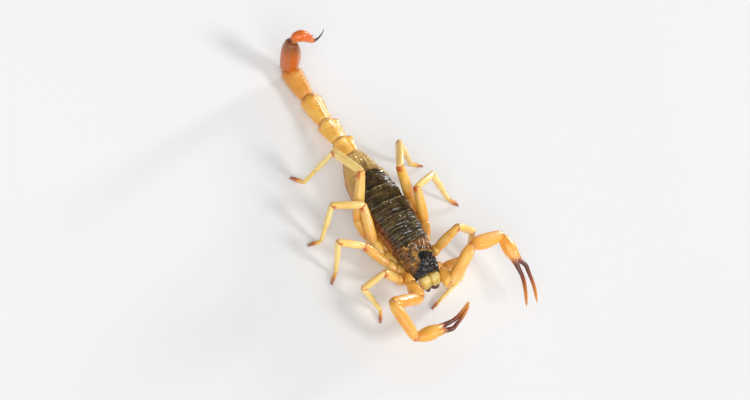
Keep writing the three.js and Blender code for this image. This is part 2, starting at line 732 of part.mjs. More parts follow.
// The bulb with the small tooth under its sting, which faces up as the bulb is folded forward.
function telsonSkin(link, lastRing) {
  const up = localNormal(lastRing.direction, link.turn);
  const spotOf = ({ forward, up: raised }) => new THREE.Vector3(forward, 0, 0).addScaledVector(up, raised);
  const spine = new THREE.CatmullRomCurve3(telsonLine.map(spotOf), false, "centripetal");
  const sideways = new THREE.Vector3().crossVectors(up, new THREE.Vector3(1, 0, 0)).normalize();
  const rings = 26;
  const steps = telsonLine.length - 1;
  const sections = Array.from({ length: rings + 1 }, (unused, i) => ({ at: i / rings }));
  const skin = loft(14, sections, ({ at }, angle, reach) => {
    const spot = spine.getPoint(at);
    const step = Math.min(Math.floor(at * steps), steps - 1);
    const share = at * steps - step;
    const radius = THREE.MathUtils.lerp(telsonLine[step].radius, telsonLine[step + 1].radius, share);
    const out = new THREE.Vector3().crossVectors(spine.getTangent(at), sideways).normalize();
    spot.addScaledVector(out, Math.cos(angle) * radius * reach);
    spot.addScaledVector(sideways, Math.sin(angle) * radius * reach);
    return spot;
  });
  const toothFoot = spotOf({ forward: 3.1, up: 0.75 });
  const tooth = thorn(toothFoot, spotOf({ forward: 0.9, up: 0.45 }), 0.42, 1.15, 8);
  return fuse(skin, [tooth]);
}

function addTail(parent) {
  const tail = new THREE.Group();
  const links = tailLinks();
  const planes = linkPlanes(links, new THREE.Vector3(0, 1, 0));
  // The bulb folds sharply on the last ring, whose end is cut less aslant than halfway between them.
  const ringEnd = links[4].direction.clone().addScaledVector(links[5].direction, 0.45).normalize();
  planes[4].normalOut = localNormal(ringEnd, links[4].turn);
  tailRings.forEach((ring, i) => {
    let skin = limbSkin({
      length: ring.length,
      ...planes[i],
      sides: 24,
      sections: sectionsOf(i === 4 ? lastRingShape : ringShape, ring.width, ring.depth),
      ridges: i === 4 ? keelRidges : ringRidges,
    });
    if (sawTeeth[i] > 0) {
      skin = fuse(skin, sawOf(ring, i));
    }
    settle(skin, links[i]);
    addMesh(tail, `metasoma_${i + 1}`, skin, i < 3 ? colours.tail : colours.tailTip, links[i]);
  });
  const last = links[links.length - 1];
  addMesh(tail, "telson", telsonSkin(last, links[4]), colours.tailTip, last);
  parent.add(tail);
}

// ---- the whole animal ----

const sides = ["left", "right"];
const legs = Object.fromEntries(sides.map((side) => [side, hips.map((hip, pair) => legLinks(side, pair))]));
const palps = Object.fromEntries(sides.map((side) => [side, palpLinks(side)]));

addProsoma(scorpion, legs, palps);
addMesosoma(scorpion, legs);
sides.forEach((side) => {
  addChelicera(scorpion, side);
  addPecten(scorpion, side);
  addPalp(scorpion, side, palps[side]);
  legs[side].forEach((links, pair) => addLeg(scorpion, side, pair, links));
});
addTail(scorpion);

// Centre the animal over the origin, with its feet on the ground.
const extent = new THREE.Box3().setFromObject(scorpion, true);
const middle = extent.getCenter(new THREE.Vector3());
scorpion.position.set(-middle.x, -middle.y, 0);

export default scorpion;
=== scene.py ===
import math
import bpy
import numpy as np
from mathutils import Matrix, Vector


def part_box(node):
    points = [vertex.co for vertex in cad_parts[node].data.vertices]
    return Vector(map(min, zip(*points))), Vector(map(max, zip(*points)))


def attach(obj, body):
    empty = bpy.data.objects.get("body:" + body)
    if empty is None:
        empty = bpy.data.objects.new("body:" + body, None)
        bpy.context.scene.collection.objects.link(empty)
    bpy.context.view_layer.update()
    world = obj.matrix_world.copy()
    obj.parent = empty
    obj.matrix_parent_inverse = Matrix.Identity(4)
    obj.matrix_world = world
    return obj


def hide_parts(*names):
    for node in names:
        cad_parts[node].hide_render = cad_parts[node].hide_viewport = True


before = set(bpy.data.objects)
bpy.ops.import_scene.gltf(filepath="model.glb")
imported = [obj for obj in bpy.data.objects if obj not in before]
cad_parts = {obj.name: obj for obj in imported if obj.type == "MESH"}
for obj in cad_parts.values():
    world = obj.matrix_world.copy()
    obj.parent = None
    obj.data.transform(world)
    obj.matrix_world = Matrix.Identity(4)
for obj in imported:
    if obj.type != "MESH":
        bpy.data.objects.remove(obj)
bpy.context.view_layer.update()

# A yellow scorpion, life size. Shapes are worked out in millimetres in the body's own axes: the head points
# to -Y, its left is +X, the ground is z = 0, and the joint between head and trunk is at y = 0.
mm = 0.001
nodeGap = 0.3  # clear space between two solids
leftBox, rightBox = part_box("chelicera_left"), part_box("chelicera_right")
bodyOrigin = np.array([
    (leftBox[0].x + leftBox[1].x + rightBox[0].x + rightBox[1].x) / 4,
    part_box("mesosoma")[0].y - nodeGap / 2 * mm,
    0.0,
])
sideSign = {"left": 1, "right": -1}
bothSides = ("left", "right")
dice = np.random.default_rng(5)
noiseTable = dice.random((32, 32, 32))
grainTable = dice.random((16, 16, 16, 3))
print("frame: body origin at", [round(float(v), 5) for v in bodyOrigin])


# Small tools for lines, directions and shapes. Angles given by the user are in degrees.

def unit(vector):
    vector = np.asarray(vector, float)
    return vector / np.linalg.norm(vector, axis=-1, keepdims=True)


# Where a piece of limb points: swing is 0 straight out to the side, 90 to the tail and -90 to the head.
def limbDirection(side, swing, lift):
    swing, lift = math.radians(swing), math.radians(lift)
    flat = math.cos(lift)
    return np.array([sideSign[side] * math.cos(swing) * flat, math.sin(swing) * flat, math.sin(lift)])


def tailDirection(turn, lift):
    turn, lift = math.radians(turn), math.radians(lift)
    flat = math.cos(lift)
    return np.array([math.sin(turn) * flat, math.cos(turn) * flat, math.sin(lift)])


# Runs softly from 0 at low to 1 at high; low may be the larger.
def ease(low, high, x):
    t = np.clip((np.asarray(x, float) - low) / (high - low), 0, 1)
    return t * t * (3 - 2 * t)


def bellAt(x, middle, width):
    return np.exp(-(((np.asarray(x, float) - middle) / width) ** 2))


# A smooth line through the values given at some places.
def through(places, values, x):
    places, values = np.asarray(places, float), np.asarray(values, float)
    slopes = np.gradient(values, places)
    i = np.clip(np.searchsorted(places, x, side="right") - 1, 0, len(places) - 2)
    width = places[i + 1] - places[i]
    t = np.clip((x - places[i]) / width, 0, 1)
    ends = (1 + 2 * t) * (1 - t) ** 2 * values[i] + t * t * (3 - 2 * t) * values[i + 1]
    return ends + width * t * (1 - t) * ((1 - t) * slopes[i] - t * slopes[i + 1])


# How many degrees an angle in radians is from one in degrees, either way round.
def angleFrom(angle, middle):
    return np.abs((np.degrees(angle) - middle + 180) % 360 - 180)


def fullTurn(count):
    return np.arange(count) / count * 2 * math.pi


# Ridges that run along a piece at the given angles round it, in degrees.
def ridgesAt(angle, places, width):
    return sum(bellAt(angleFrom(angle, place), 0, width) for place in places)


# All places by all angles, as two arrays.
def gridOf(places, angles):
    return np.meshgrid(places, angles, indexing="ij")


# One straight piece of a limb: x along it, across to one side and back towards the sky, rolled about x.
# The planes it ends in lean a third of the way towards its neighbours.
def makeLink(start, direction, length, roll=0.0, before=None, after=None, lean=0.35):
    across = unit(np.cross([0.0, 0.0, 1.0], direction))
    back = np.cross(direction, across)
    turn = math.radians(roll)
    axes = np.array([
        direction,
        math.cos(turn) * across + math.sin(turn) * back,
        math.cos(turn) * back - math.sin(turn) * across,
    ])
    cuts = [direction if other is None else unit(direction + lean * other) for other in (before, after)]
    return {
        "start": np.asarray(start, float), "axes": axes, "length": length,
        "cutIn": axes @ cuts[0], "cutOut": axes @ cuts[1],
    }


def makeChain(start, directions, lengths, rolls, before):
    links, point = [], np.asarray(start, float)
    for i, direction in enumerate(directions):
        earlier = directions[i - 1] if i else before
        later = directions[i + 1] if i + 1 < len(directions) else None
        links.append(makeLink(point, direction, lengths[i], rolls[i], earlier, later))
        point = point + direction * lengths[i]
    return links


# The coxa of a limb, from its root, and the chain of links that goes on from its end.
def limbLinks(side, root, start, directions, lengths, rolls):
    root, start = (np.array(spot) * [sideSign[side], 1, 1] for spot in (root, start))
    before = unit(start - root)
    coxa = makeLink(root, before, np.linalg.norm(start - root), after=directions[0])
    return coxa, makeChain(start, directions, lengths, rolls, before)


def outOf(link, spots):
    return link["start"] + np.asarray(spots, float) @ link["axes"]


# Small tools for rough skin. Noise runs from -1 to 1, and grains from 0 between them to 1 on top of one.
# Sizes are in millimetres.

def noiseOf(spots, size, octaves=1):
    total, weightSum = 0.0, 0.0
    for octave in range(octaves):
        scaled = np.asarray(spots) / size * 2 ** octave + 7.3 * octave
        base = np.floor(scaled).astype(int)
        part = scaled - base
        part = part * part * (3 - 2 * part)
        value = 0.0
        for corner in np.ndindex(2, 2, 2):
            weight = np.prod(np.where(np.array(corner) == 1, part, 1 - part), axis=-1)
            cell = (base + corner) % 32
            value = value + weight * noiseTable[cell[..., 0], cell[..., 1], cell[..., 2]]
        total = total + (2 * value - 1) * 0.5 ** octave
        weightSum += 0.5 ** octave
    return total / weightSum


def grainsOf(spots, spacing, radius=0.45):
    scaled = np.asarray(spots) / spacing
    base = np.floor(scaled).astype(int)
    nearest = np.full(scaled.shape[:-1], 9.0)
    for step in np.ndindex(3, 3, 3):
        cell = base + np.array(step) - 1
        wrapped = cell % 16
        middle = cell + grainTable[wrapped[..., 0], wrapped[..., 1], wrapped[..., 2]]
        nearest = np.minimum(nearest, np.sum((scaled - middle) ** 2, axis=-1))
    return np.clip(1 - nearest / radius ** 2, 0, 1) ** 0.7


# Small tools for meshes. A part is a dictionary of vertices, faces and marks, one number for each vertex.

def signedVolume(verts, faces):
    a, b, c, d = (verts[faces[:, i]] for i in range(4))
    return np.sum(np.cross(b - a, c - a) * (a + b + c)) + np.sum(np.cross(c - a, d - a) * (a + c + d))


def partOf(verts, faces, marks):
    if signedVolume(verts - verts.mean(0), faces) < 0:
        faces = faces[:, ::-1]
    return {"verts": verts, "faces": faces, "marks": marks}


# A closed solid from rings of points. A triangle is a face whose last corner repeats.
def solidOf(grid, **marks):
    rows, sides = grid.shape[:2]
    verts = np.vstack([grid.reshape(-1, 3), grid[0].mean(0), grid[-1].mean(0)])
    i, j = gridOf(np.arange(rows - 1), np.arange(sides))
    k = (j + 1) % sides
    quads = np.stack([i * sides + j, (i + 1) * sides + j, (i + 1) * sides + k, i * sides + k], -1)
    j = np.arange(sides)
    k = (j + 1) % sides
    first, last = np.full(sides, rows * sides), np.full(sides, rows * sides + 1)
    far = (rows - 1) * sides
    caps = np.vstack([np.stack([first, j, k, k], -1), np.stack([last, far + k, far + j, far + j], -1)])
    spread = {}
    for name, value in marks.items():
        value = np.broadcast_to(value, (rows, sides))
        spread[name] = np.concatenate([value.ravel(), [value[0].mean(), value[-1].mean()]])
    return partOf(verts, np.vstack([quads.reshape(-1, 4), caps]), spread)


# The directions square to a sheet of points, on the side that outward points to.
def outwardNormals(grid, outward):
    normal = np.cross(np.gradient(grid, axis=0), np.gradient(grid, axis=1))
    normal = normal / np.maximum(np.linalg.norm(normal, axis=-1, keepdims=True), 1e-9)
    return normal * np.sign(np.sum(normal * outward, axis=-1, keepdims=True))


# A thin closed plate: the outer side is given, and the inner side lies inward of it by a thickness that
# runs out to nothing at the border.
def plateOf(outer, thickness, roll, outward, **marks):
    rows, columns = outer.shape[:2]
    normal = outwardNormals(outer, outward)
    alongStep = np.linalg.norm(np.diff(outer, axis=0), axis=-1)
    acrossStep = np.linalg.norm(np.diff(outer, axis=1), axis=-1)
    along = np.vstack([np.zeros((1, columns)), np.cumsum(alongStep, 0)])
    across = np.hstack([np.zeros((rows, 1)), np.cumsum(acrossStep, 1)])
    edge = np.minimum(np.minimum(along, along[-1] - along), np.minimum(across, across[:, -1:] - across))
    full = np.sqrt(1 - (1 - np.clip(edge / roll, 0, 1)) ** 2)
    outer = outer - normal * (thickness * 0.5 * (1 - full))[..., None]
    inner = outer - normal * (thickness * full)[..., None]
    index = np.arange(rows * columns).reshape(rows, columns)
    under = index.copy()
    under[1:-1, 1:-1] = rows * columns + np.arange((rows - 2) * (columns - 2)).reshape(rows - 2, columns - 2)
    verts = np.vstack([outer.reshape(-1, 3), inner[1:-1, 1:-1].reshape(-1, 3)])
    faces = []
    for sheet, order in ((index, (0, 1, 2, 3)), (under, (3, 2, 1, 0))):
        corners = [sheet[:-1, :-1], sheet[1:, :-1], sheet[1:, 1:], sheet[:-1, 1:]]
        faces.append(np.stack([corners[i] for i in order], -1).reshape(-1, 4))
    spread = {}
    for name, value in marks.items():
        value = np.broadcast_to(value, (rows, columns))
        spread[name] = np.concatenate([value.ravel(), value[1:-1, 1:-1].ravel()])
    return partOf(verts, np.vstack(faces), spread)


# Points on the skin of a piece of limb, at shares of its length and angles round it from the back. form says
# its shape, as rows of place from 0 to 1, width and depth; size, what 1 stands for in them; pull, how far
# the ends stay from the planes where it meets its neighbours; span, the part of the link it takes up; square,
# how boxy it is; and arch, how far it bows up.
def limbSkin(link, form, share, angle, reach=1.0, shift=0.0, raised=0.0):
    table = np.array([(row + [row[1]])[:3] for row in form["shape"]], float)
    span, pull = form.get("span", (0, 1)), form.get("pull", (0, 0))
    corner = (np.abs(np.cos(angle)) ** 4 + np.abs(np.sin(angle)) ** 4) ** (-0.25 * form.get("square", 0))
    wide = (through(table[:, 0], table[:, 1], share) * form["size"][0] / 2 * corner + raised) * reach
    deep = (through(table[:, 0], table[:, 2], share) * form["size"][1] / 2 * corner + raised) * reach
    whole = span[0] + share * (span[1] - span[0])
    y = np.sin(angle) * wide
    z = np.cos(angle) * deep + form.get("arch", 0) * np.sin(math.pi * whole)
    cutIn, cutOut = link["cutIn"], link["cutOut"]
    low = (pull[0] - cutIn[1] * y - cutIn[2] * z) / cutIn[0]
    high = link["length"] + (-pull[1] - cutOut[1] * y - cutOut[2] * z) / cutOut[0]
    return outOf(link, np.stack([low + whole * (high - low) + shift, y, z], -1))


# A closed piece of limb with domed ends. relief and marks are functions of angle, share and place.
def limbSolid(link, form, rows=36, sides=32, dome=0.16, relief=None, marks=None):
    turn = np.linspace(0.2, 1, 4, endpoint=False) * math.pi / 2
    share = np.concatenate([np.zeros(4), np.linspace(0, 1, rows), np.ones(4)])
    reach = np.concatenate([np.sin(turn), np.ones(rows), np.sin(turn[::-1])])[:, None]
    shift = np.concatenate([-np.cos(turn), np.zeros(rows), np.cos(turn[::-1])])[:, None] * dome
    share, angle = gridOf(share, fullTurn(sides))
    grid = limbSkin(link, form, share, angle, reach, shift)
    if relief is not None:
        grid = limbSkin(link, form, share, angle, reach, shift, relief(angle, share, grid))
    return solidOf(grid, **(marks(angle, share, grid) if marks else {}))


# The points at places from 0 to 1 along a smooth curve.
def splineOf(points, places):
    points = np.asarray(points, float)
    knots = np.concatenate([[0], np.cumsum(np.linalg.norm(np.diff(points, axis=0), axis=1))])
    knots = knots / knots[-1]
    return np.stack([through(knots, points[:, i], places) for i in range(3)], -1)


# A round tube along a curve, such as a finger. Widths and depths are rows of place and size. Four more rings
# round off each end; back says how far beyond it they are, as a share of the radius.
def curveSolid(points, widths, depths=None, up=(0, 0, 1), rows=48, sides=20, relief=None, marks=None):
    places = np.linspace(0, 1, rows)
    spine = splineOf(points, places)
    tangent = unit(np.gradient(spine, axis=0))
    aside = unit(np.cross(np.asarray(up, float), tangent))
    top = np.cross(tangent, aside)
    tables = (widths, widths if depths is None else depths)
    size = np.stack([through(*np.transpose(table), places) for table in tables], -1)
    back = 1 - np.sin(np.linspace(0, 1, 4, endpoint=False) * math.pi / 2)
    back = np.concatenate([-back, np.zeros(rows), back[::-1]])
    rounding = np.sqrt(np.clip(1 - back ** 2, 0.0004, 1)) * np.where(np.abs(back) > 0.999, 0.05, 1)
    row = np.concatenate([np.zeros(4, int), np.arange(rows), np.full(4, rows - 1)])
    spine = spine[row] + tangent[row] * (size[row].max(-1) * back * 0.7)[:, None]
    size, aside, top = size[row] * rounding[:, None], aside[row][:, None], top[row][:, None]
    share, angle = gridOf(places[row], fullTurn(sides))
    right, over = np.sin(angle), np.cos(angle)
    grid = (right * size[:, :1])[..., None] * aside + (over * size[:, 1:])[..., None] * top
    grid = spine[:, None] + grid
    if relief is not None:
        reach = np.clip(size[:, :1] / np.max(size), 0.2, 1)
        out = right[..., None] * aside + over[..., None] * top
        grid = grid + out * (relief(angle, share, grid) * reach)[..., None]
    return solidOf(grid, **(marks(angle, share, grid) if marks else {}))


# The widths and depths of a tube from rows of place, width and depth along the whole of it.
def widthsAndDepths(rows, whole=1):
    return [[[row[0] / whole, row[i]] for row in rows] for i in (1, 2)]


# A ball or egg, such as an eye, a knob or a tooth.
def beadSolid(middle, radii, axes=None, rows=9, sides=14, **marks):
    tilt, angle = gridOf(np.linspace(0, math.pi, rows + 2)[1:-1], fullTurn(sides))
    ball = np.stack([np.sin(tilt) * np.cos(angle), np.sin(tilt) * np.sin(angle), np.cos(tilt)], -1)
    ball = ball * np.asarray(radii, float)
    return solidOf(np.asarray(middle, float) + (ball if axes is None else ball @ np.asarray(axes)), **marks)


# Marks that change along a finger or tooth. Each is given as its strength and the places where it begins
# and is full.
def tipMarks(joint, dark):
    def marks(angle, share, grid):
        return {name: strength * ease(begins, full, share)
                for name, (strength, begins, full) in (("joint", joint), ("dark", dark))}
    return marks


# Fine hairs: three-sided, bent and pointed, their roots sunk in the skin. A real one is about 0.02 mm thick
# and is drawn a little coarser, so that it shows.
hairRadius = 0.016


def hairsOn(roots, directions, lengths, bend, dark):
    roots, directions = np.asarray(roots, float), unit(directions)
    lengths = np.broadcast_to(lengths, len(roots))[:, None]
    aside = unit(np.cross(directions, [0.31, 0.52, 0.79]))
    top = np.cross(directions, aside)
    rings = []
    for share, thick in ((-0.12, 1.0), (0.45, 0.7)):
        middle = roots + directions * lengths * share + np.asarray(bend) * lengths * max(share, 0) ** 2
        for turn in (0, 2.094, 4.189):  # thirds of a turn
            rings.append(middle + hairRadius * thick * (math.cos(turn) * aside + math.sin(turn) * top))
    rings.append(roots + directions * lengths + np.asarray(bend) * lengths)
    verts = np.stack(rings, 1).reshape(-1, 3)
    one = np.array([[0, 2, 1, 1], [0, 1, 4, 3], [1, 2, 5, 4], [2, 0, 3, 5],
                    [3, 4, 6, 6], [4, 5, 6, 6], [5, 3, 6, 6]])
    faces = (one[None] + 7 * np.arange(len(roots))[:, None, None]).reshape(-1, 4)
    if signedVolume(verts[:7] - verts[:7].mean(0), one) < 0:
        faces = faces[:, ::-1]
    return {"verts": verts, "faces": faces, "marks": {"dark": np.full(len(verts), dark)}}


# Hairs on a piece of limb, at the given shares of its length and angles round it. lean tips them forward.
def limbHairs(link, form, share, angle, lengths, lean, bend, dark):
    roots = limbSkin(link, form, share, angle)
    aims = limbSkin(link, form, share, angle, raised=1.0) - roots + lean
    return hairsOn(roots, aims, lengths, bend, dark)


# Hairs strewn all round a piece of limb, in the given ranges of place and length.
def strewnHairs(link, form, count, places, lengths, lean, dark):
    share, angle, forward = dice.uniform(*places, count), dice.uniform(0, 2 * math.pi, count), link["axes"][0]
    lengths = dice.uniform(*lengths, count)
    return limbHairs(link, form, share, angle, lengths, forward * lean, forward * 0.2, dark)


markNames = ("joint", "dark", "tone")
pieceCount = {"pieces": 0, "faces": 0}


# Makes one piece of the scorpion from its parts, in place, hangs it under the root body and hides the frame's
# parts that it replaces.
def makePiece(name, parts, material, replaced=()):
    verts, faces, marks, start = [], [], {mark: [] for mark in markNames}, 0
    for part in parts:
        verts.append(part["verts"])
        faces.append(part["faces"] + start)
        start += len(part["verts"])
        for mark in markNames:
            marks[mark].append(np.broadcast_to(part["marks"].get(mark, 0.0), len(part["verts"])))
    verts, faces = np.vstack(verts), np.vstack(faces)
    verts[:, 2] = np.maximum(verts[:, 2], 0)
    faceList = [tuple(dict.fromkeys(face)) for face in faces.tolist()]
    mesh = bpy.data.meshes.new(name)
    mesh.from_pydata((verts * mm + bodyOrigin).tolist(), [], faceList)
    for mark in markNames:
        layer = mesh.attributes.new(mark, "FLOAT", "POINT")
        layer.data.foreach_set("value", np.clip(np.concatenate(marks[mark]), 0, 1).astype(np.float32))
    mesh.polygons.foreach_set("use_smooth", np.ones(len(faceList), bool))
    mesh.materials.append(material)
    mesh.validate()
    piece = bpy.data.objects.new(name, mesh)
    bpy.context.scene.collection.objects.link(piece)
    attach(piece, "root")
    if replaced:
        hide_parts(*replaced)
    pieceCount["pieces"] += 1
    pieceCount["faces"] += len(faceList)


# Makes the piece that stands for one of the frame's nodes and is named after it.
def makeShell(node, parts, material):
    makePiece(f"{node}_shell", parts, material, [node])


# Materials. The first two numbers say how strongly chitin and wax bend light.
chitinIor, waxIor = 1.56, 1.45


def linear(hexColour):
    channels = [int(hexColour[i:i + 2], 16) / 255 for i in (1, 3, 5)]
    return [c / 12.92 if c <= 0.04045 else ((c + 0.055) / 1.055) ** 2.4 for c in channels] + [1.0]


# Adds a node, sets its values by name (a socket's name or number, or one of the node's own settings)
# and joins its sockets to outputs.
def addNode(tree, kind, values=(), joined=()):
    node = tree.nodes.new(kind)
    for name, value in dict(values).items():
        if isinstance(name, str) and hasattr(node, name):
            setattr(node, name, value)
        else:
            node.inputs[name].default_value = value
    for name, output in dict(joined).items():
        tree.links.new(output, node.inputs[name])
    return node


def perMetre(size):
    return 1000 / size  # a texture's scale from the size of its pattern in millimetres


def newMaterial(name):
    material = bpy.data.materials.new(name)
    material.use_nodes = True
    tree = material.node_tree
    tree.nodes.clear()
    return material, tree


def cloudOf(tree, place, size, detail, roughness=0.5):
    return addNode(tree, "ShaderNodeTexNoise", {
        "Scale": perMetre(size), "Detail": detail, "Roughness": roughness,
    }, {"Vector": place}).outputs["Fac"]


def blendOf(tree, share, first, second):
    colours = {6: first, 7: second}
    fixed = {name: linear(colour) for name, colour in colours.items() if isinstance(colour, str)}
    joined = {name: colour for name, colour in colours.items() if not isinstance(colour, str)}
    return addNode(tree, "ShaderNodeMix", {"data_type": "RGBA", **fixed}, {0: share, **joined}).outputs[2]


# Chitin: a thin clear waxy coat over translucent, mottled shell. Colours go from base to shade in cloudy
# patches, to fleck in specks, and to joint, dark and tone where the piece is marked so. The skin has a fine
# shagreen: the real one is near 0.05 mm and is drawn about three times coarser, so that it shows.
def chitin(name, look):
    material, tree = newMaterial(name)
    place = addNode(tree, "ShaderNodeTexCoord").outputs["Object"]
    cloud = addNode(tree, "ShaderNodeMapRange", {
        "From Min": 0.36, "From Max": 0.66, "interpolation_type": "SMOOTHSTEP",
    }, {"Value": cloudOf(tree, place, look["cloud"], 3.0, 0.55)})
    colour = blendOf(tree, cloud.outputs[0], look["base"], look["shade"])
    speck = cloudOf(tree, place, look["speck"], 2.0, 0.6)
    fleck = addNode(tree, "ShaderNodeMapRange", {
        "From Min": 0.56, "From Max": 0.7, "To Max": look["fleckShare"],
    }, {"Value": speck})
    colour = blendOf(tree, fleck.outputs[0], colour, look["fleck"])
    for mark in markNames:
        amount = addNode(tree, "ShaderNodeAttribute", {"attribute_name": mark}).outputs["Fac"]
        colour = blendOf(tree, amount, colour, look[mark])
    rough = addNode(tree, "ShaderNodeMapRange", {
        "To Min": look["rough"][0], "To Max": look["rough"][1],
    }, {"Value": speck})
    bump = addNode(tree, "ShaderNodeBump", {"Strength": 1.0, "Distance": look["relief"] * mm}, {
        "Height": cloudOf(tree, place, look["shagreen"], 2.0),
    })
    shader = addNode(tree, "ShaderNodeBsdfPrincipled", {
        "IOR": chitinIor,
        "Specular IOR Level": look["gloss"],
        "Subsurface Weight": look["glow"],
        "Subsurface Radius": look["glowReach"],
        "Subsurface Scale": 1.0 * mm,
        "Coat Weight": look["wax"],
        "Coat Roughness": look["waxRough"],
        "Coat IOR": waxIor,
    }, {"Base Color": colour, "Roughness": rough.outputs[0], "Normal": bump.outputs["Normal"]})
    addNode(tree, "ShaderNodeOutputMaterial", (), {"Surface": shader.outputs[0]})
    return material


# The pale shell of the legs is thin chitin that lets light in by about half a millimetre, so thin ends glow.
# cloud, speck and shagreen are the sizes of the patterns and relief the height of the last, in millimetres;
# rough is the range of the shell's roughness, glowReach how far red, green and blue go in, and gloss the
# mirror under the wax.
paleShell = {
    "base": "#f4c655", "shade": "#eab244", "fleck": "#d8963a", "fleckShare": 0.25,
    "joint": "#d0641c", "dark": "#6a2a15", "tone": "#fbeeb0",
    "cloud": 2.6, "speck": 0.28, "shagreen": 0.16, "relief": 0.02,
    "rough": (0.28, 0.4), "glow": 0.25, "glowReach": (0.8, 0.5, 0.15), "wax": 0.4, "waxRough": 0.1,
    "gloss": 0.5,
}
legChitin = chitin("legChitin", paleShell)
# The pedipalps' shell: thicker and more orange, with dark brown fingers.
palpChitin = chitin("palpChitin", {
    **paleShell, "base": "#fab648", "shade": "#f2a436", "fleck": "#da8626", "joint": "#b8541c",
    "dark": "#52160c", "tone": "#fbcf6a", "wax": 0.5, "waxRough": 0.08,
})
# The tail's shell: firm and less translucent, golden and then amber on the last ring.
tailChitin = chitin("tailChitin", {
    **paleShell, "base": "#fcc658", "shade": "#f4b446", "fleck": "#e0902e", "joint": "#b0541c",
    "dark": "#5c200c", "tone": "#c4600f", "wax": 0.35, "waxRough": 0.08, "glow": 0.06,
})
# The bulb's shell: smooth, deep orange, ending in a hard dark sting.
stingChitin = chitin("stingChitin", {
    **paleShell, "base": "#ea721a", "shade": "#d96314", "fleck": "#ba4c10", "joint": "#7c2c0e",
    "dark": "#43302a", "tone": "#f4963a", "cloud": 1.8, "wax": 0.25, "waxRough": 0.06, "glow": 0.03,
})
# The back plates: thick, pigmented chitin, almost opaque, with a soft mirror and small bright glints.
plateChitin = chitin("plateChitin", {
    "base": "#30220f", "shade": "#4e3f1a", "fleck": "#735a2c", "fleckShare": 0.4,
    "joint": "#7e421c", "dark": "#160d06", "tone": "#d8b068",
    "cloud": 1.9, "speck": 0.3, "shagreen": 0.15, "relief": 0.03,
    "rough": (0.16, 0.26), "glow": 0.04, "glowReach": (0.5, 0.25, 0.1), "wax": 0.35, "waxRough": 0.08,
    "gloss": 0.15,
})
# The carapace: the same, but mottled in brown and gold and more thickly waxed.
shieldChitin = chitin("shieldChitin", {
    "base": "#885422", "shade": "#3c260f", "fleck": "#b4823a", "fleckShare": 0.5,
    "joint": "#744626", "dark": "#100905", "tone": "#c0913c",
    "cloud": 1.0, "speck": 0.3, "shagreen": 0.15, "relief": 0.03,
    "rough": (0.14, 0.24), "glow": 0.05, "glowReach": (0.5, 0.25, 0.1), "wax": 0.75, "waxRough": 0.08,
    "gloss": 0.12,
})
# Flanks and belly: leathery, pleated skin with little wax, which reads as matt.
flankChitin = chitin("flankChitin", {
    **paleShell, "base": "#cd8f42", "shade": "#b3732f", "fleck": "#8f5423", "fleckShare": 0.5,
    "joint": "#6b3216", "dark": "#3c1d0e", "tone": "#e5bb72",
    "cloud": 1.6, "relief": 0.05, "rough": (0.38, 0.52), "wax": 0.2, "waxRough": 0.25,
})
# The jaws' shell: pale greenish yellow with a brown net towards the fingers.
jawChitin = chitin("jawChitin", {
    **paleShell, "base": "#dcc064", "shade": "#cba84a", "fleck": "#96702e", "fleckShare": 0.35,
    "joint": "#9a6426", "dark": "#35160b", "tone": "#ead488", "cloud": 0.9, "wax": 0.5, "waxRough": 0.1,
})
# The combs: the thinnest and palest shell of all.
combChitin = chitin("combChitin", {
    **paleShell, "base": "#e8cd93", "shade": "#dcb976", "fleck": "#c79a55", "wax": 0.15,
})
# The skin of the joints: soft, matt, paler and more translucent than shell.
jointSkin = chitin("jointSkin", {
    **paleShell, "base": "#eab766", "shade": "#dc9a48", "fleck": "#b87430", "joint": "#9a4a1c",
    "glow": 0.45, "rough": (0.45, 0.6), "wax": 0.05, "relief": 0.04,
})
# Claws and teeth: solid dark chitin, worn smooth and glassy.
clawChitin = chitin("clawChitin", {
    **paleShell, "base": "#4a1a0e", "shade": "#2f0f08", "fleck": "#7a3a1c", "joint": "#7a3a1c",
    "dark": "#180807", "tone": "#b05a28", "cloud": 0.5, "glow": 0.05, "rough": (0.2, 0.3), "wax": 0.6,
    "relief": 0.01,
})


# Eye lens: clear cuticle over black pigment, so it reads as wet black glass. Background paper: matt, pale and
# very slightly clouded. It glows a little, as paper lit from all round.
lens = {"base": "#0d0a0a", "shade": "#221611", "cloud": 0.4, "rough": 0.06, "coatRough": 0.02}
paper = {"base": "#dbdbdb", "shade": "#dedede", "cloud": 60, "rough": 0.9, "glow": 0.18}


def eyeLens():
    material, tree = newMaterial("eyeLens")
    place = addNode(tree, "ShaderNodeTexCoord").outputs["Object"]
    colour = blendOf(tree, cloudOf(tree, place, lens["cloud"], 2.0), lens["base"], lens["shade"])
    shader = addNode(tree, "ShaderNodeBsdfPrincipled", {
        "IOR": chitinIor, "Roughness": lens["rough"], "Coat Weight": 1.0, "Coat Roughness": lens["coatRough"],
    }, {"Base Color": colour})
    addNode(tree, "ShaderNodeOutputMaterial", (), {"Surface": shader.outputs[0]})
    return material


def backgroundPaper():
    material, tree = newMaterial("backgroundPaper")
    place = addNode(tree, "ShaderNodeTexCoord").outputs["Object"]
    colour = blendOf(tree, cloudOf(tree, place, paper["cloud"], 1.0), paper["base"], paper["shade"])
    shader = addNode(tree, "ShaderNodeBsdfPrincipled", {
        "Roughness": paper["rough"], "Specular IOR Level": 0.1, "Emission Strength": paper["glow"],
    }, {"Base Color": colour, "Emission Color": colour})
    addNode(tree, "ShaderNodeOutputMaterial", (), {"Surface": shader.outputs[0]})
    return material


eyeMaterial = eyeLens()
paperMaterial = backgroundPaper()
print("materials done")


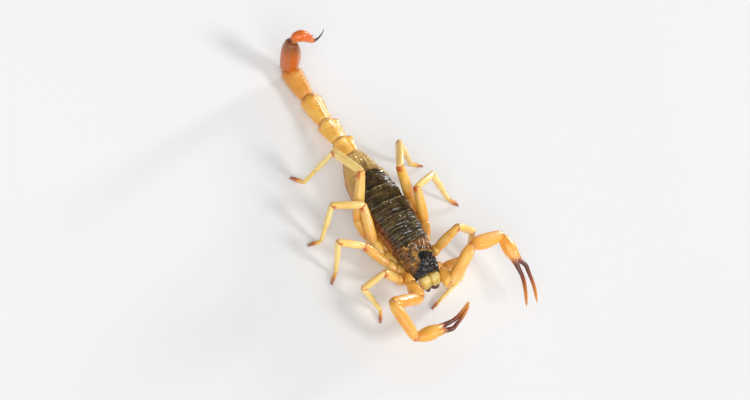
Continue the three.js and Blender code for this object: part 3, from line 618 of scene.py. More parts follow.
# Legs, first to fourth pair: where each leaves its coxa, the lengths of its trochanter, femur, patella,
# tibia and tarsus, and its pose in degrees: the swing of each from straight out (0) to the tail (90) or the
# head (-90), and the lift of the first three. The last two reach down to the ground.
legs = {
    "hips": [[3.9, -4.9, 3.1], [4.2, -2.6, 3.7], [5.0, 0.9, 3.7], [5.5, 5.4, 3.4]],
    "coxaRoots": [[1.3, -4.3, 3.3], [1.3, -3.2, 3.2], [1.4, -2.2, 3.1], [1.5, -1.4, 3.1]],
    "lengths": [[1.6, 4.6, 4.7, 6.0, 2.2], [2.0, 5.9, 5.4, 7.2, 2.3], [3.0, 7.4, 6.0, 8.4, 2.4],
                [3.8, 9.4, 6.8, 9.2, 2.6]],
    "width": 1.4, "depth": 1.75, "growth": [0.92, 0.97, 1.0, 1.04],
    "ankle": 1.0, "foot": 0.3, "hairs": 16, "hairLength": 0.42, "knobs": [0.16, 0.16, 0.19, 0.17, 0.1],
    "keels": (28, 152, 208, 332),
}
legPose = {
    "right": [
        {"swing": [22, 22, -8, -124, -65], "lift": [38, 38, -32]},
        {"swing": [51, 51, 26, -89, -45], "lift": [20, 20, 11]},
        {"swing": [73, 88, 22, -65, 9], "lift": [18, 34, -2]},
        {"swing": [75, 107, 75, -10, 52], "lift": [24, 46, -21]},
    ],
    "left": [
        {"swing": [-28, -11, -119, -161, -160], "lift": [-10, 28, -56]},
        {"swing": [16, 16, -16, -100, -150], "lift": [60, 60, -36]},
        {"swing": [67, 95, 17, -45, -47], "lift": [10, 42, -18], "stretch": 0.97},
        {"swing": [84, 118, 52, -29, -21], "lift": [18, 53, -21], "stretch": 0.86},
    ],
}
# Rows of place, width and depth. Each piece starts in a round head and widens again to the rim that
# clasps the next one's. The basitarsus is the second part of the tibia piece.
legForms = {
    "trochanter": {"shape": [
        [0, 1.22, 1.0], [0.2, 1.42, 1.1], [0.6, 1.5, 1.14], [0.88, 1.42, 1.08], [1, 1.24, 0.98],
    ]},
    "femur": {"arch": 0.1, "shape": [
        [0, 1.16, 0.94], [0.12, 1.34, 1.04], [0.35, 1.38, 1.06], [0.7, 1.22, 1.0], [0.92, 1.08, 0.94],
        [1, 1.0, 0.86],
    ]},
    "patella": {"arch": 0.08, "shape": [
        [0, 0.78], [0.1, 0.88], [0.4, 0.98], [0.7, 0.97], [0.92, 0.93], [1, 0.86],
    ]},
    "tibia": {"span": (0, 0.57), "arch": 0.06, "shape": [
        [0, 0.68], [0.12, 0.75], [0.5, 0.74], [0.88, 0.74], [1, 0.66],
    ]},
    "basitarsus": {"span": (0.565, 1), "shape": [
        [0, 0.5], [0.15, 0.56], [0.6, 0.52], [0.92, 0.54], [1, 0.46],
    ]},
    "tarsus": {"arch": 0.05, "shape": [[0, 0.4], [0.15, 0.46], [0.5, 0.48], [0.85, 0.42], [1, 0.28]]},
}
legPieces = {"femur": [(0, "trochanter"), (1, "femur")], "patella": [(2, "patella")],
             "tibia": [(3, "tibia"), (3, "basitarsus")], "tarsus": [(4, "tarsus")]}


def legLinks(side, pair):
    pose = legPose[side][pair]
    lengths = list(legs["lengths"][pair])
    lengths[1] *= pose.get("stretch", 1)
    hip, root = legs["hips"][pair], legs["coxaRoots"][pair]
    directions = [limbDirection(side, swing, lift) for swing, lift in zip(pose["swing"], pose["lift"])]
    knee = hip[2] + sum(direction[2] * length for direction, length in zip(directions, lengths))
    falls = [(legs["ankle"] - knee) / lengths[3], (legs["foot"] - legs["ankle"]) / lengths[4]]
    for swing, fall in zip(pose["swing"][3:], falls):
        directions.append(limbDirection(side, swing, math.degrees(math.asin(fall))))
    return limbLinks(side, root, hip, directions, lengths, [0] * 5)


# The round head of a piece, in soft skin, which fills the joint.
def jointBall(link, width, depth):
    return beadSolid(link["start"], (0.42 * width, width / 2 * 0.96, depth / 2 * 0.96), link["axes"], 11, 20)


# Hard knobs, one at each side of a joint, that the next piece turns on.
def hingeKnobs(link, before, width, radius):
    hinge = np.cross(before, link["axes"][0])
    if np.linalg.norm(hinge) < 0.15:
        hinge = link["axes"][1]
    hinge = unit(hinge)
    axes = np.array([link["axes"][0], hinge, np.cross(link["axes"][0], hinge)])
    spots = [link["start"] + turn * hinge * (width / 2 - radius * 0.35) for turn in (-1, 1)]
    return [beadSolid(spot, (radius * 1.15, radius * 0.7, radius), axes, 7, 12, joint=0.95) for spot in spots]


# Four low keels, rough skin, and a groove and a swelling before the rim. share is the place along the piece.
def legRelief(angle, share, spot):
    ends = ease(0, 0.1, share) * ease(1, 0.92, share)
    beaded = 0.6 + 0.4 * grainsOf(spot, 0.3)
    raised = 0.045 * ridgesAt(angle, legs["keels"], 9) * ends * beaded + 0.025 * noiseOf(spot, 1.1, 2)
    return raised - 0.035 * bellAt(share, 0.93, 0.014) + 0.02 * ease(0.94, 0.97, share)


# Orange at the root, with a red spot at each side of the knees, pale beyond them and red at the foot.
def legMarks(section):
    root = {"trochanter": 0.35, "femur": 0.25}.get(section, 0)
    pale = {"patella": 0.25, "tibia": 0.45, "basitarsus": 0.3}.get(section, 0)
    isFoot, isUpper = section == "tarsus", section in ("femur", "patella")

    def marks(angle, share, grid):
        rim = (0.2 * ease(0.965, 1.0, share) + 0.1 * ease(0.05, 0.0, share)) * (section != "trochanter")
        spots = ease(0.84, 0.97, share) * ease(0.35, 0.8, np.abs(np.sin(angle))) * isUpper
        joint = np.maximum(rim, spots) + 0.1 * ease(0.2, 0.7, noiseOf(grid, 0.9, 2))
        joint = joint + root * ease(0.6, 0.0, share) + 0.12 * (root > 0)
        joint = joint + 0.75 * ease(0.1, 0.7, share) * isFoot
        tone = pale + 0.2 * ease(-0.2, 0.6, noiseOf(grid + 9, 2.4))
        dark = 0.55 * ease(0.3, 0.95, share) * isFoot
        return {"joint": joint, "dark": dark, "tone": tone * (1 - spots) * (not isFoot)}
    return marks


def hookMarks(angle, share, grid):
    return {"tone": ease(0.9, 0.3, share)}


def makeLeg(side, pair):
    coxa, links = legLinks(side, pair)
    grown = legs["growth"][pair]
    size = (legs["width"] * grown, legs["depth"] * grown)
    leg, skins = f"leg_{side}_{pair + 1}", []
    for piece, sections in legPieces.items():
        parts = []
        for number, section in sections:
            link, pull = links[number], (0.1, 0.12 if number == 3 else 0.16)
            forward = link["axes"][0]
            form = {**legForms[section], "size": size, "square": 0.2, "pull": pull}
            low, high = form.get("span", (0, 1))
            rows = max(14, int(link["length"] * (high - low) / 0.15))
            parts.append(limbSolid(link, form, rows, 32, 0.3, legRelief, legMarks(section)))
            count = legs["hairs"] if number > 2 else 7
            share = dice.uniform(0.08, 0.95, count)
            angle = np.radians(dice.normal(180, 75, count))
            reach = legs["hairLength"] * dice.uniform(0.6, 1.1, count) * (0.7 if section == "tarsus" else 1)
            parts.append(limbHairs(link, form, share, angle, reach, forward * 0.8, forward * 0.25, 0.8))
            if section == "basitarsus":
                continue
            before = links[number - 1]["axes"][0] if number else coxa["axes"][0]
            wide, deep = (form["shape"][0][1] * size[0], form["shape"][0][-1] * size[1])
            skins.append(jointBall(link, wide, deep))
            if number != 1:
                parts += hingeKnobs(link, before, (wide + deep) / 2, legs["knobs"][number] * grown)
        makeShell(f"{leg}_{piece}", parts, legChitin)
    makePiece(f"{leg}_joint_skin", skins, jointSkin)
    # Two hooks, bent down, and a short spur between them.
    foot, claws = links[-1], []
    end = foot["length"]
    for turn in (-1, 1):
        hook = [[end - 0.2, turn * 0.05, 0.03], [end, turn * 0.11, 0.07], [end + 0.17, turn * 0.2, 0.04],
                [end + 0.3, turn * 0.28, -0.08]]
        widths = [[0, 0.11], [0.3, 0.09], [0.7, 0.06], [1, 0.02]]
        claws.append(curveSolid(outOf(foot, hook), widths, rows=12, sides=10, marks=hookMarks))
    spur = [[end - 0.15, 0, -0.02], [end + 0.02, 0, -0.06], [end + 0.12, 0, -0.14]]
    claws.append(curveSolid(outOf(foot, spur), [[0, 0.08], [0.5, 0.06], [1, 0.02]], rows=8, sides=8))
    makePiece(f"{leg}_claws", claws, clawChitin)
    return coxa


legCoxae = {(side, pair): makeLeg(side, pair) for side in bothSides for pair in range(4)}
print("legs done", pieceCount)


# Pedipalps: the root on the coxa, the lengths of the pieces, their pose as for the legs, and the lines of
# the fingers in the hand's own plane. The hand runs on into its fixed finger. Its rows are place along both,
# in millimetres, width and depth; in those of the lobe and the movable finger, place is a share.
palps = {
    "coxaRoot": [1.7, -3.6, 4.3], "root": [3.4, -6.3, 4.7], "lengths": [3.2, 7.8, 7.6, 5.9],
    "fixedFinger": [[0, 0], [1.6, 0], [3.3, 0], [4.6, -0.14], [5.5, -0.4], [6.4, -0.6], [8.5, -0.9],
                    [11.2, -2.1], [13.6, -3.7]],
    "hand": [[0, 0.58, 0.55], [0.4, 0.84, 0.8], [1.1, 1.1, 1.05], [2.1, 1.32, 1.27], [3.3, 1.34, 1.3],
             [4.4, 1.1, 1.1], [5.2, 0.8, 0.86], [6.0, 0.56, 0.64], [7.2, 0.43, 0.49], [9.5, 0.38, 0.43],
             [12.5, 0.3, 0.33], [13.8, 0.2, 0.22]],
    "handKeels": (0, 52, 118, 180, 242, 308), "fingerTip": 0.07,
    "lobeLine": [[2.2, 0.1], [3.8, 0.22], [5.0, 0.42], [5.85, 0.56]],
    "lobe": [[0, 0.9, 0.9], [0.4, 0.98, 0.96], [0.75, 0.76, 0.8], [1, 0.5, 0.55]],
    "movableFinger": [[0.18, 0.62], [1.3, 0.8], [2.9, 0.18], [5.2, -0.95], [7.8, -2.9]],
    "shutFinger": [[0.18, 0.62], [1.3, 0.74], [2.9, 0.0], [5.2, -1.37], [7.75, -3.3]],
    "movable": [[0, 0.36, 0.4], [0.06, 0.46, 0.5], [0.16, 0.44, 0.5], [0.35, 0.36, 0.42], [0.65, 0.33, 0.38],
                [0.88, 0.24, 0.27], [1, 0.06, 0.06]],
    "teeth": 30, "toothSize": 0.07, "hairs": 14,
}
palpPose = {
    "right": {"swing": [-88, 3.5, -102, -175], "lift": [1, 24.9, -13, 2], "roll": [0, 0, -50, -20],
              "opening": 0},
    "left": {"swing": [-83, 34.4, -1, -80], "lift": [11, 28.4, -10, -13], "roll": [0, 0, 0, 0],
             "opening": 12},
}
palpForms = {
    "trochanter": [[0, 1.7, 1.6], [0.2, 2.1, 2.1], [0.5, 2.45, 2.35], [0.8, 2.7, 2.5], [1, 2.1, 2.0]],
    "femur": [[0, 1.8], [0.1, 2.2, 2.1], [0.45, 2.28, 2.05], [0.88, 2.12, 1.94], [1, 1.65, 1.55]],
    "patella": [[0, 1.5, 1.4], [0.1, 2.3, 1.85], [0.3, 2.9, 2.15], [0.6, 2.75, 2.1], [0.9, 2.05, 1.8],
                [1, 1.6, 1.45]],
}
palpKeels = {
    "trochanter": (45, 135, 225, 315), "femur": (38, 142, 218, 322, 270),
    "patella": (30, 90, 150, 210, 270, 330),
}


# Beaded keels, in degrees round the piece, on rough skin.
def palpRelief(keels, strength):
    def relief(angle, share, spot):
        ends = ease(0.02, 0.14, share) * ease(0.99, 0.88, share)
        beaded = 0.45 + 0.55 * grainsOf(spot, 0.34, 0.5)
        raised = strength * ridgesAt(angle, keels, 6) * beaded * ends + 0.03 * noiseOf(spot, 1.4, 2)
        return raised + 0.014 * grainsOf(spot + 3, 0.3) - 0.05 * bellAt(share, 0.94, 0.02)
    return relief


def palpMarks(angle, share, grid):
    joint = 0.65 * ease(0.94, 1.0, share) + 0.3 * ease(0.06, 0.0, share)
    joint = joint + 0.1 * ease(0.1, 0.7, noiseOf(grid, 0.8, 2))
    return {"joint": joint, "tone": 0.35 * ease(-0.1, 0.6, noiseOf(grid + 5, 2.6))}


# A row of small dark teeth in slanting files along a finger's biting edge, which faces the other finger.
def fingerTeeth(spine, facing, up, radius):
    places = np.linspace(0.12, 0.93, palps["teeth"])
    tangents = unit(np.gradient(splineOf(spine, places), axis=0))
    inward = facing * unit(np.cross(up, tangents))
    parts = []
    for i, spot in enumerate(splineOf(spine, places)):
        size = palps["toothSize"] * (1.4 if i % 5 == 0 else 1) * (1.05 - 0.3 * places[i])
        slant = ((i % 5) / 4 - 0.5) * 0.16
        edge = spot + inward[i] * (radius(places[i]) - size * 0.1) + up * slant
        parts.append(beadSolid(edge, (size, size, size * 0.9), None, 4, 8, dark=1))
    return parts


def makePalp(side):
    pose, outer, palp = palpPose[side], sideSign[side], f"pedipalp_{side}"
    directions = [limbDirection(side, swing, lift) for swing, lift in zip(pose["swing"], pose["lift"])]
    root, start = palps["coxaRoot"], palps["root"]
    coxa, links = limbLinks(side, root, start, directions, palps["lengths"], pose["roll"])
    before, skins = coxa["axes"][0], []
    for link, piece in zip(links, ("trochanter", "femur", "patella")):
        form = {"shape": palpForms[piece], "size": (1, 1), "square": 0.25}
        rows = int(link["length"] / 0.1)
        parts = [limbSolid(link, form, rows, 72, 0.2, palpRelief(palpKeels[piece], 0.09), palpMarks)]
        wide, deep = palpForms[piece][0][1], palpForms[piece][0][-1]
        skins.append(jointBall(link, wide * 1.08, deep * 1.08))
        parts += hingeKnobs(link, before, (wide + deep) / 2 + 0.1, 0.24)
        parts.append(strewnHairs(link, form, palps["hairs"], (0.1, 0.95), (0.4, 0.8), 0.4, 0.7))
        makeShell(f"{palp}_{piece}", parts, palpChitin)
        before = link["axes"][0]
    hand = links[3]
    skins.append(jointBall(hand, 1.45, 1.4))
    makePiece(f"{palp}_joint_skin", skins, jointSkin)
    makeHand(palp, hand, outer)
    makeMovableFinger(palp, hand, outer, pose["opening"])
    return coxa


# The hand and its fixed finger. A swelling beside them carries the movable one.
def makeHand(palp, hand, outer):
    up = hand["axes"][2]
    fixed = outOf(hand, [[x, y * outer, 0] for x, y in palps["fixedFinger"]])
    whole = float(np.sum(np.linalg.norm(np.diff(fixed, axis=0), axis=1)))
    widths, depths = widthsAndDepths(palps["hand"] + [[whole, palps["fingerTip"], palps["fingerTip"]]], whole)

    def handRelief(angle, share, spot):
        body = ease(0.01, 0.07, share) * ease(0.44, 0.34, share)
        beaded = 0.5 + 0.5 * grainsOf(spot, 0.36, 0.5)
        raised = 0.07 * body * ridgesAt(angle, palps["handKeels"], 6) * beaded
        return raised + 0.02 * noiseOf(spot, 1.3, 2) * body

    def handMarks(angle, share, grid):
        dark = ease(0.36, 0.44, share + 0.02 * noiseOf(grid, 0.8)) * (0.9 - 0.88 * ease(0.5, 0.85, share))
        joint = 0.5 * ease(0.04, 0, share) + 0.9 * ease(0.3, 0.4, share) - 0.45 * ease(0.6, 0.95, share)
        tone = 0.3 * ease(-0.1, 0.6, noiseOf(grid + 5, 2.6)) * ease(0.4, 0.3, share)
        return {"joint": joint, "dark": dark, "tone": tone}

    parts = [curveSolid(fixed, widths, depths, up, 150, 48, handRelief, handMarks)]
    lobe = outOf(hand, [[x, y * outer, 0] for x, y in palps["lobeLine"]])
    widths, depths = widthsAndDepths(palps["lobe"])
    marks = tipMarks((0.85, 0.6, 1), (0.5, 0.85, 1))
    parts.append(curveSolid(lobe, widths, depths, up, 40, 40, None, marks))
    parts += fingerTeeth(fixed[5:], outer, up, lambda place: 0.42 - 0.2 * place)
    form = {"shape": [[0, 1.2], [0.3, 2.6], [0.55, 2.7], [0.8, 2.1], [1, 1.3]], "size": (1, 1)}
    parts.append(strewnHairs(hand, form, palps["hairs"] + 2, (0.048, 0.864), (0.4, 0.9), 0.4, 0.7))
    makeShell(f"{palp}_hand", parts, palpChitin)


def makeMovableFinger(palp, hand, outer, opening):
    turn, up = math.radians(opening), hand["axes"][2]
    line = palps["movableFinger" if opening else "shutFinger"]
    pivot = np.array(line[0])
    bent = [pivot + np.array([
        math.cos(turn) * (x - pivot[0]) - math.sin(turn) * (y - pivot[1]),
        math.sin(turn) * (x - pivot[0]) + math.cos(turn) * (y - pivot[1]),
    ]) for x, y in line]
    length = hand["length"]
    spine = outOf(hand, [[length - 0.45, 0.5 * outer, 0]] + [[length + x, y * outer, 0] for x, y in bent])

    def fingerMarks(angle, share, grid):
        dark = ease(0.0, 0.1, share) * (0.9 - 0.88 * ease(0.2, 0.75, share))
        return {"joint": 0.9 - 0.45 * ease(0.4, 0.95, share), "dark": dark + 0.05 * noiseOf(grid, 0.7, 2)}

    def fingerRelief(angle, share, spot):
        return 0.012 * noiseOf(spot, 0.9, 2)

    widths, depths = widthsAndDepths(palps["movable"])
    finger = [curveSolid(spine, widths, depths, up, 110, 32, fingerRelief, fingerMarks)]
    finger += fingerTeeth(spine[1:], -outer, up, lambda place: 0.4 - 0.2 * place)
    makeShell(f"{palp}_movable_finger", finger, palpChitin)


palpCoxae = {side: makePalp(side) for side in bothSides}
print("pedipalps done", pieceCount)


# Head: the carapace, with rows of place along the body, width, top and bottom, how far to each side of the
# middle line it is black, the eyes, the lateral ones in rows of three, and the coxae under it.
head = {
    "length": 6.5, "middle": 5.2,
    "rows": [[-6.5, 4.9, 6.5, 4.1], [-6.15, 5.3, 6.85, 3.6], [-5.0, 5.9, 7.3, 3.0], [-3.4, 6.6, 7.55, 2.6],
             [-1.6, 7.2, 7.75, 2.5], [-0.45, 7.6, 7.8, 2.5], [0.25, 7.5, 7.7, 2.6]],
    "black": [[-6.6, 3.6], [-6.2, 3.2], [-5.5, 2.7], [-4.9, 1.7], [-3.9, 0.95], [-2.4, 0.7], [-1.8, -0.5]],
    "moundPlace": -3.9, "moundHeight": 0.42, "grain": 0.24,
    "medianEye": {"radius": 0.31, "aside": 0.46, "height": 7.86},
    "lateralEye": {"radius": 0.17, "place": -6.12, "step": 0.37, "angle": 1.02},
    "legCoxa": [[0, 1.7, 1.6], [0.3, 2.15, 2.0], [0.7, 2.2, 2.1], [0.93, 2.0, 2.0], [1, 1.7, 1.75]],
    "palpCoxa": [[0, 1.8], [0.5, 2.2, 2.3], [0.85, 2.0, 2.05], [1, 1.6, 1.65]],
}


def carapaceSkin(y, angle):
    rows, middle = np.array(head["rows"]), head["middle"]
    half = through(rows[:, 0], rows[:, 1], y) / 2
    top, bottom = (through(rows[:, 0], rows[:, i], y) for i in (2, 3))
    up, across = np.cos(angle), np.sin(angle)
    rise = np.where(up > 0, (top - middle) * np.abs(up) ** 0.85, (bottom - middle) * np.abs(up) ** 0.8)
    tuck = np.where(up < 0, 1 - 0.2 * ease(0, 0.3, -up), 1)
    side = np.sign(across) * np.abs(across) ** 0.8 * half * tuck
    return np.stack([side, y + 0 * angle, middle + rise], -1)


# Each feature is its height times bells over the distance from the middle line, x, and the place along the
# body, y.
def carapaceRelief(grid):
    x, y = np.abs(grid[..., 0]), grid[..., 1]
    mound = head["moundHeight"] * np.exp(-((x / 0.72) ** 2 + ((y - head["moundPlace"]) / 0.85) ** 2) ** 1.3)
    furrow = 0.2 * bellAt(y, -3.9, 0.7) + 0.13 * ease(-2.9, -2.2, y) + 0.1 * ease(-4.6, -5.2, y)
    furrow = bellAt(x, 0, 0.16) * furrow
    brow = 0.1 * bellAt(x, 0.42, 0.13) * bellAt(y, -4.3, 0.9)
    sideKeel = 0.1 * bellAt(x, 0.75 + 0.28 * np.maximum(y + 3.2, 0) ** 1.1, 0.14) * ease(-3.4, -2.6, y)
    frontKeel = 0.08 * bellAt(x, 0.75 + 0.3 * (-4.4 - y), 0.15) * ease(-4.4, -4.9, y)
    hollow = -0.16 * bellAt(x, 1.7, 0.55) * bellAt(y, -3.6, 0.9)
    hollow = hollow - 0.13 * bellAt(x, 1.5 + 0.5 * (y + 1.8), 0.35) * bellAt(y, -1.5, 0.9)
    corner = 0.14 * bellAt(x, 2.2, 0.35) * bellAt(y, -5.75, 0.5)
    rim = 0.09 * ease(-6.3, -6.45, y) + 0.07 * bellAt(y, -0.12, 0.14) - 0.06 * bellAt(y, -0.42, 0.12)
    patchy = 0.55 + 0.45 * ease(-0.3, 0.4, noiseOf(grid, 1.2, 2))
    grains = 0.08 * grainsOf(grid, head["grain"], 0.48) * patchy
    lumps = 0.15 * grainsOf(grid + 50, 0.62, 0.5) * ease(0.2, 0.7, x) + 0.12 * noiseOf(grid + 40, 0.6, 2)
    raised = mound - furrow + brow + sideKeel + frontKeel + hollow + corner + rim
    return raised + grains + lumps + 0.05 * noiseOf(grid, 1.1, 2)


def coxaMarks(angle, share, grid):
    joint = 0.25 * ease(0.9, 1.0, share) + 0.25 * ease(0.0, 0.6, noiseOf(grid, 1.6, 2))
    return {"joint": joint, "tone": 0.1}


def makeCarapace():
    place, angle = gridOf(np.linspace(-head["length"], 0.22, 130), np.linspace(-1.72, 1.72, 190))
    notch = 0.1 * bellAt(angle, 0, 0.5) * ease(-5.6, -6.5, place)
    grid = carapaceSkin(place, angle)
    grid[..., 1] += notch
    outward = grid * [1, 0, 1] - [0, 0, 4.0]
    normal = outwardNormals(grid, outward)
    raised = carapaceRelief(grid)
    x, y = np.abs(grid[..., 0]), grid[..., 1]
    cloud = noiseOf(grid, 1.0, 3)
    # Black in front and along the middle, and blotched with gold behind.
    blackHalf = through(*zip(*head["black"]), y)
    # Painted light: the black is a little wider on the left only, so the right keeps brown standing in for
    # reflected warm light.
    blackHalf = blackHalf + (grid[..., 0] > 0) * ease(-2.3, -3.2, y) * 1.5
    dark = ease(0.18, -0.18, x - blackHalf - 0.5 * cloud)
    blotch = ease(0.0, 0.35, noiseOf(grid + 20, 1.3, 3))
    marks = {
        "dark": np.maximum(dark, 0.55 * blotch * (0.6 + 0.4 * ease(-0.3, 0.3, noiseOf(grid + 60, 0.6, 2)))),
        "tone": (1 - dark) * (1 - blotch) * ease(0.0, 0.4, noiseOf(grid + 31, 0.9, 3)) * 0.8,
        "joint": 0.6 * ease(2.95, 3.6, x) * (1 - dark),
    }
    shield = plateOf(grid + normal * raised[..., None], 0.16, 0.14, outward, **marks)
    makePiece("carapace", [shield], shieldChitin, ["prosoma"])


# Under the shield: soft body wall, with the fronts and sides drawn in.
def makeHeadWall():
    place, angle = gridOf(np.linspace(-6.35, 0.6, 40), fullTurn(72))
    wall = carapaceSkin(place, angle)
    shrink = np.where(np.cos(angle) > -0.2, 0.28, 0.05) + 0.25 * ease(-5.9, -6.35, place)
    middle = np.stack([0 * place, place, 0 * place + head["middle"]], -1)
    wall = wall - unit(wall - middle + 1e-6) * (shrink + 0.05 * noiseOf(wall, 0.8, 2))[..., None]
    parts = [solidOf(wall, dark=0.25 * ease(-5.5, -6.3, place), joint=0.5 * ease(0.3, -0.2, np.cos(angle)))]
    makePiece("head_wall", parts, flankChitin)


# Coxae close in from both sides on the little breastbone between them.
def makeCoxae():
    form = {"size": (1, 1), "square": 0.2, "shape": head["legCoxa"]}
    palpForm = {**form, "shape": head["palpCoxa"]}
    for side in bothSides:
        parts = []
        for pair in range(4):
            link = legCoxae[side, pair]
            rows = max(20, int(link["length"] / 0.14))
            relief = palpRelief((60, 180, 300), 0.04)
            parts.append(limbSolid(link, form, rows, 40, 0.2, relief, coxaMarks))
        makePiece(f"coxae_{side}", parts, legChitin)
        relief = palpRelief((30, 90, 150, 270), 0.05)
        parts = [limbSolid(palpCoxae[side], palpForm, 32, 56, 0.2, relief, coxaMarks)]
        makePiece(f"palp_coxa_{side}", parts, palpChitin)
    bone = beadSolid([0, -1.9, 2.62], [0.72, 1.0, 0.55], None, 14, 28, joint=0.2)
    makePiece("breastbone", [bone], legChitin)


def makeEyes():
    median, lateral, medianEyes, lateralEyes = head["medianEye"], head["lateralEye"], [], []
    for turn in (-1, 1):
        spot = [turn * median["aside"], head["moundPlace"] - 0.05, median["height"]]
        medianEyes.append(beadSolid(spot, [median["radius"]] * 3, None, 14, 24))
        for i in range(3):
            place = np.array(lateral["place"] + lateral["step"] * i)
            spot = carapaceSkin(place, np.array(turn * (lateral["angle"] + 0.03 * i))) + [turn * 0.06, 0, 0.1]
            lateralEyes.append(beadSolid(spot, [lateral["radius"] * (1 - 0.12 * i)] * 3, None, 10, 18))
    makePiece("median_eyes", medianEyes, eyeMaterial)
    makePiece("lateral_eyes", lateralEyes, eyeMaterial)


# Jaws: where they start and point, their shape, and their fingers, whose lines are steps forward, inward and
# up from the start. The second finger hooks across the front of the first. Both carry blunt teeth.
jaws = {
    "middle": 0.15, "apart": 1.1, "height": 5.45, "length": 2.0, "aim": [0.12, -0.8, -0.6], "outward": -0.05,
    "shape": [[0, 1.7, 1.6], [0.2, 2.05], [0.5, 2.15], [0.8, 2.12, 2.0], [0.95, 2.0, 1.85], [1, 1.75, 1.6]],
    "fingers": [[[1.4, 0.5, 0.0], [2.0, 0.6, -0.05], [2.45, 0.62, -0.15], [2.85, 0.55, -0.3]],
                [[1.4, -0.2, 0.15], [2.05, -0.26, 0.12], [2.55, 0.02, 0.05], [2.9, 0.45, -0.1]]],
    "fingerWidths": [[[0, 0.5], [0.45, 0.44], [0.8, 0.34], [1, 0.1]],
                     [[0, 0.5], [0.45, 0.46], [0.8, 0.36], [1, 0.1]]],
    "hairs": 26, "teeth": 3,
}


def jawRelief(angle, share, spot):
    return 0.03 * noiseOf(spot, 0.7, 2) + 0.02 * grainsOf(spot, 0.25) - 0.06 * bellAt(share, 0.82, 0.03)


def jawMarks(angle, share, grid):
    netted = ease(0.1, 0.45, noiseOf(grid, 0.55, 2)) * ease(0.35, 0.9, share)
    dark = 0.6 * ease(0.9, 1, share) + 0.25 * netted
    return {"dark": dark, "joint": 0.3 * netted, "tone": 0.5 * ease(0.7, 0.2, share)}


def makeJaw(side):
    out, count = sideSign[side], jaws["hairs"]
    direction = unit(np.array(jaws["aim"]) + [jaws["outward"] * out, 0, 0])
    start = [jaws["middle"] + out * jaws["apart"], -head["length"] - 0.1, jaws["height"]]
    link = makeLink(start, direction, jaws["length"])
    form = {"size": (1, 1), "square": 0.5, "pull": (-0.25, 0), "shape": jaws["shape"]}
    base = [limbSolid(link, form, 40, 48, 0.22, jawRelief, jawMarks)]
    share, angle = dice.uniform(0.3, 0.98, count), np.radians(dice.normal(200, 70, count))
    lengths = dice.uniform(0.3, 0.5, count)
    base.append(limbHairs(link, form, share, angle, lengths, direction * 1.2, [0, 0, -0.15], 0.6))
    makeShell(f"chelicera_{side}", base, jawChitin)

    fingers, marks = [], tipMarks((1, 0.5, 0.1), (0.6, 0.6, 1))
    for line, widths in zip(jaws["fingers"], jaws["fingerWidths"]):
        spine = outOf(link, [[x, -y * out, z] for x, y, z in line])
        fingers.append(curveSolid(spine, widths, rows=30, sides=20, marks=marks))
    for i in range(jaws["teeth"]):
        spot = outOf(link, [2.0 + 0.25 * i, (0.24 - 0.03 * i) * -out, -0.12 - 0.08 * i])
        fingers.append(beadSolid(spot, [0.1, 0.1, 0.09], None, 6, 10, dark=0.5))
    makePiece(f"chelicera_{side}_fingers", fingers, clawChitin)


makeCarapace()
makeHeadWall()
makeCoxae()
makeEyes()
for side in bothSides:
    makeJaw(side)
print("head done", pieceCount)


# Trunk: stations along it, as place, half width, half height, middle height and sideways bend; the lengths
# of its seven back plates, how they overlap and how bold their creases are; and where belly plates end.
trunk = {
    "length": 20.7, "tailRoot": [-0.3, 20.7, 4.5],
    "stations": [[0, 3.85, 2.55, 5.2, 0], [3, 4.3, 2.7, 5.1, 0], [6.5, 4.6, 2.85, 4.95, -0.15],
                 [11, 4.6, 2.9, 4.7, -0.35], [15, 4.25, 2.75, 4.5, -0.45], [18, 3.3, 2.35, 4.45, -0.4],
                 [20.7, 1.95, 1.8, 4.5, -0.3]],
    "plates": [1.5, 2.0, 2.5, 3.0, 3.3, 3.5, 4.9], "step": 0.3, "tuck": 0.32, "lap": 0.16, "thick": 0.13,
    "plateAngle": 1.27, "grain": 0.25, "bold": [1.3, 1.3, 1.2, 1.0, 0.75, 0.55, 0.4],
    "bellyEdges": [4.4, 7.2, 10.2, 13.3, 16.6, 20.55], "bellyAngle": 1.12,
}
lastPlate = len(trunk["plates"]) - 1


def trunkSkin(y, angle, raised=0.0):
    stations = np.array(trunk["stations"])
    half, rise, height, bend = (through(stations[:, 0], stations[:, i], y) for i in (1, 2, 3, 4))
    up = np.cos(angle)
    tall = np.where(up > 0, np.abs(up) ** 0.85, -0.95 * np.abs(up) ** 0.75)
    side = np.sign(np.sin(angle)) * np.abs(np.sin(angle)) ** 0.85 * (half + raised)
    return np.stack([bend + side, y + 0 * angle, height + (rise + raised) * tall], -1)


def trunkMiddle(y):
    stations = np.array(trunk["stations"])
    bend, height = (through(stations[:, 0], stations[:, i], y) for i in (4, 3))
    return np.stack([bend, y, height], -1)


# How far points are to the left of the trunk's middle line.
def asideOf(grid):
    return grid[..., 0] - trunkMiddle(grid[..., 1])[..., 0]


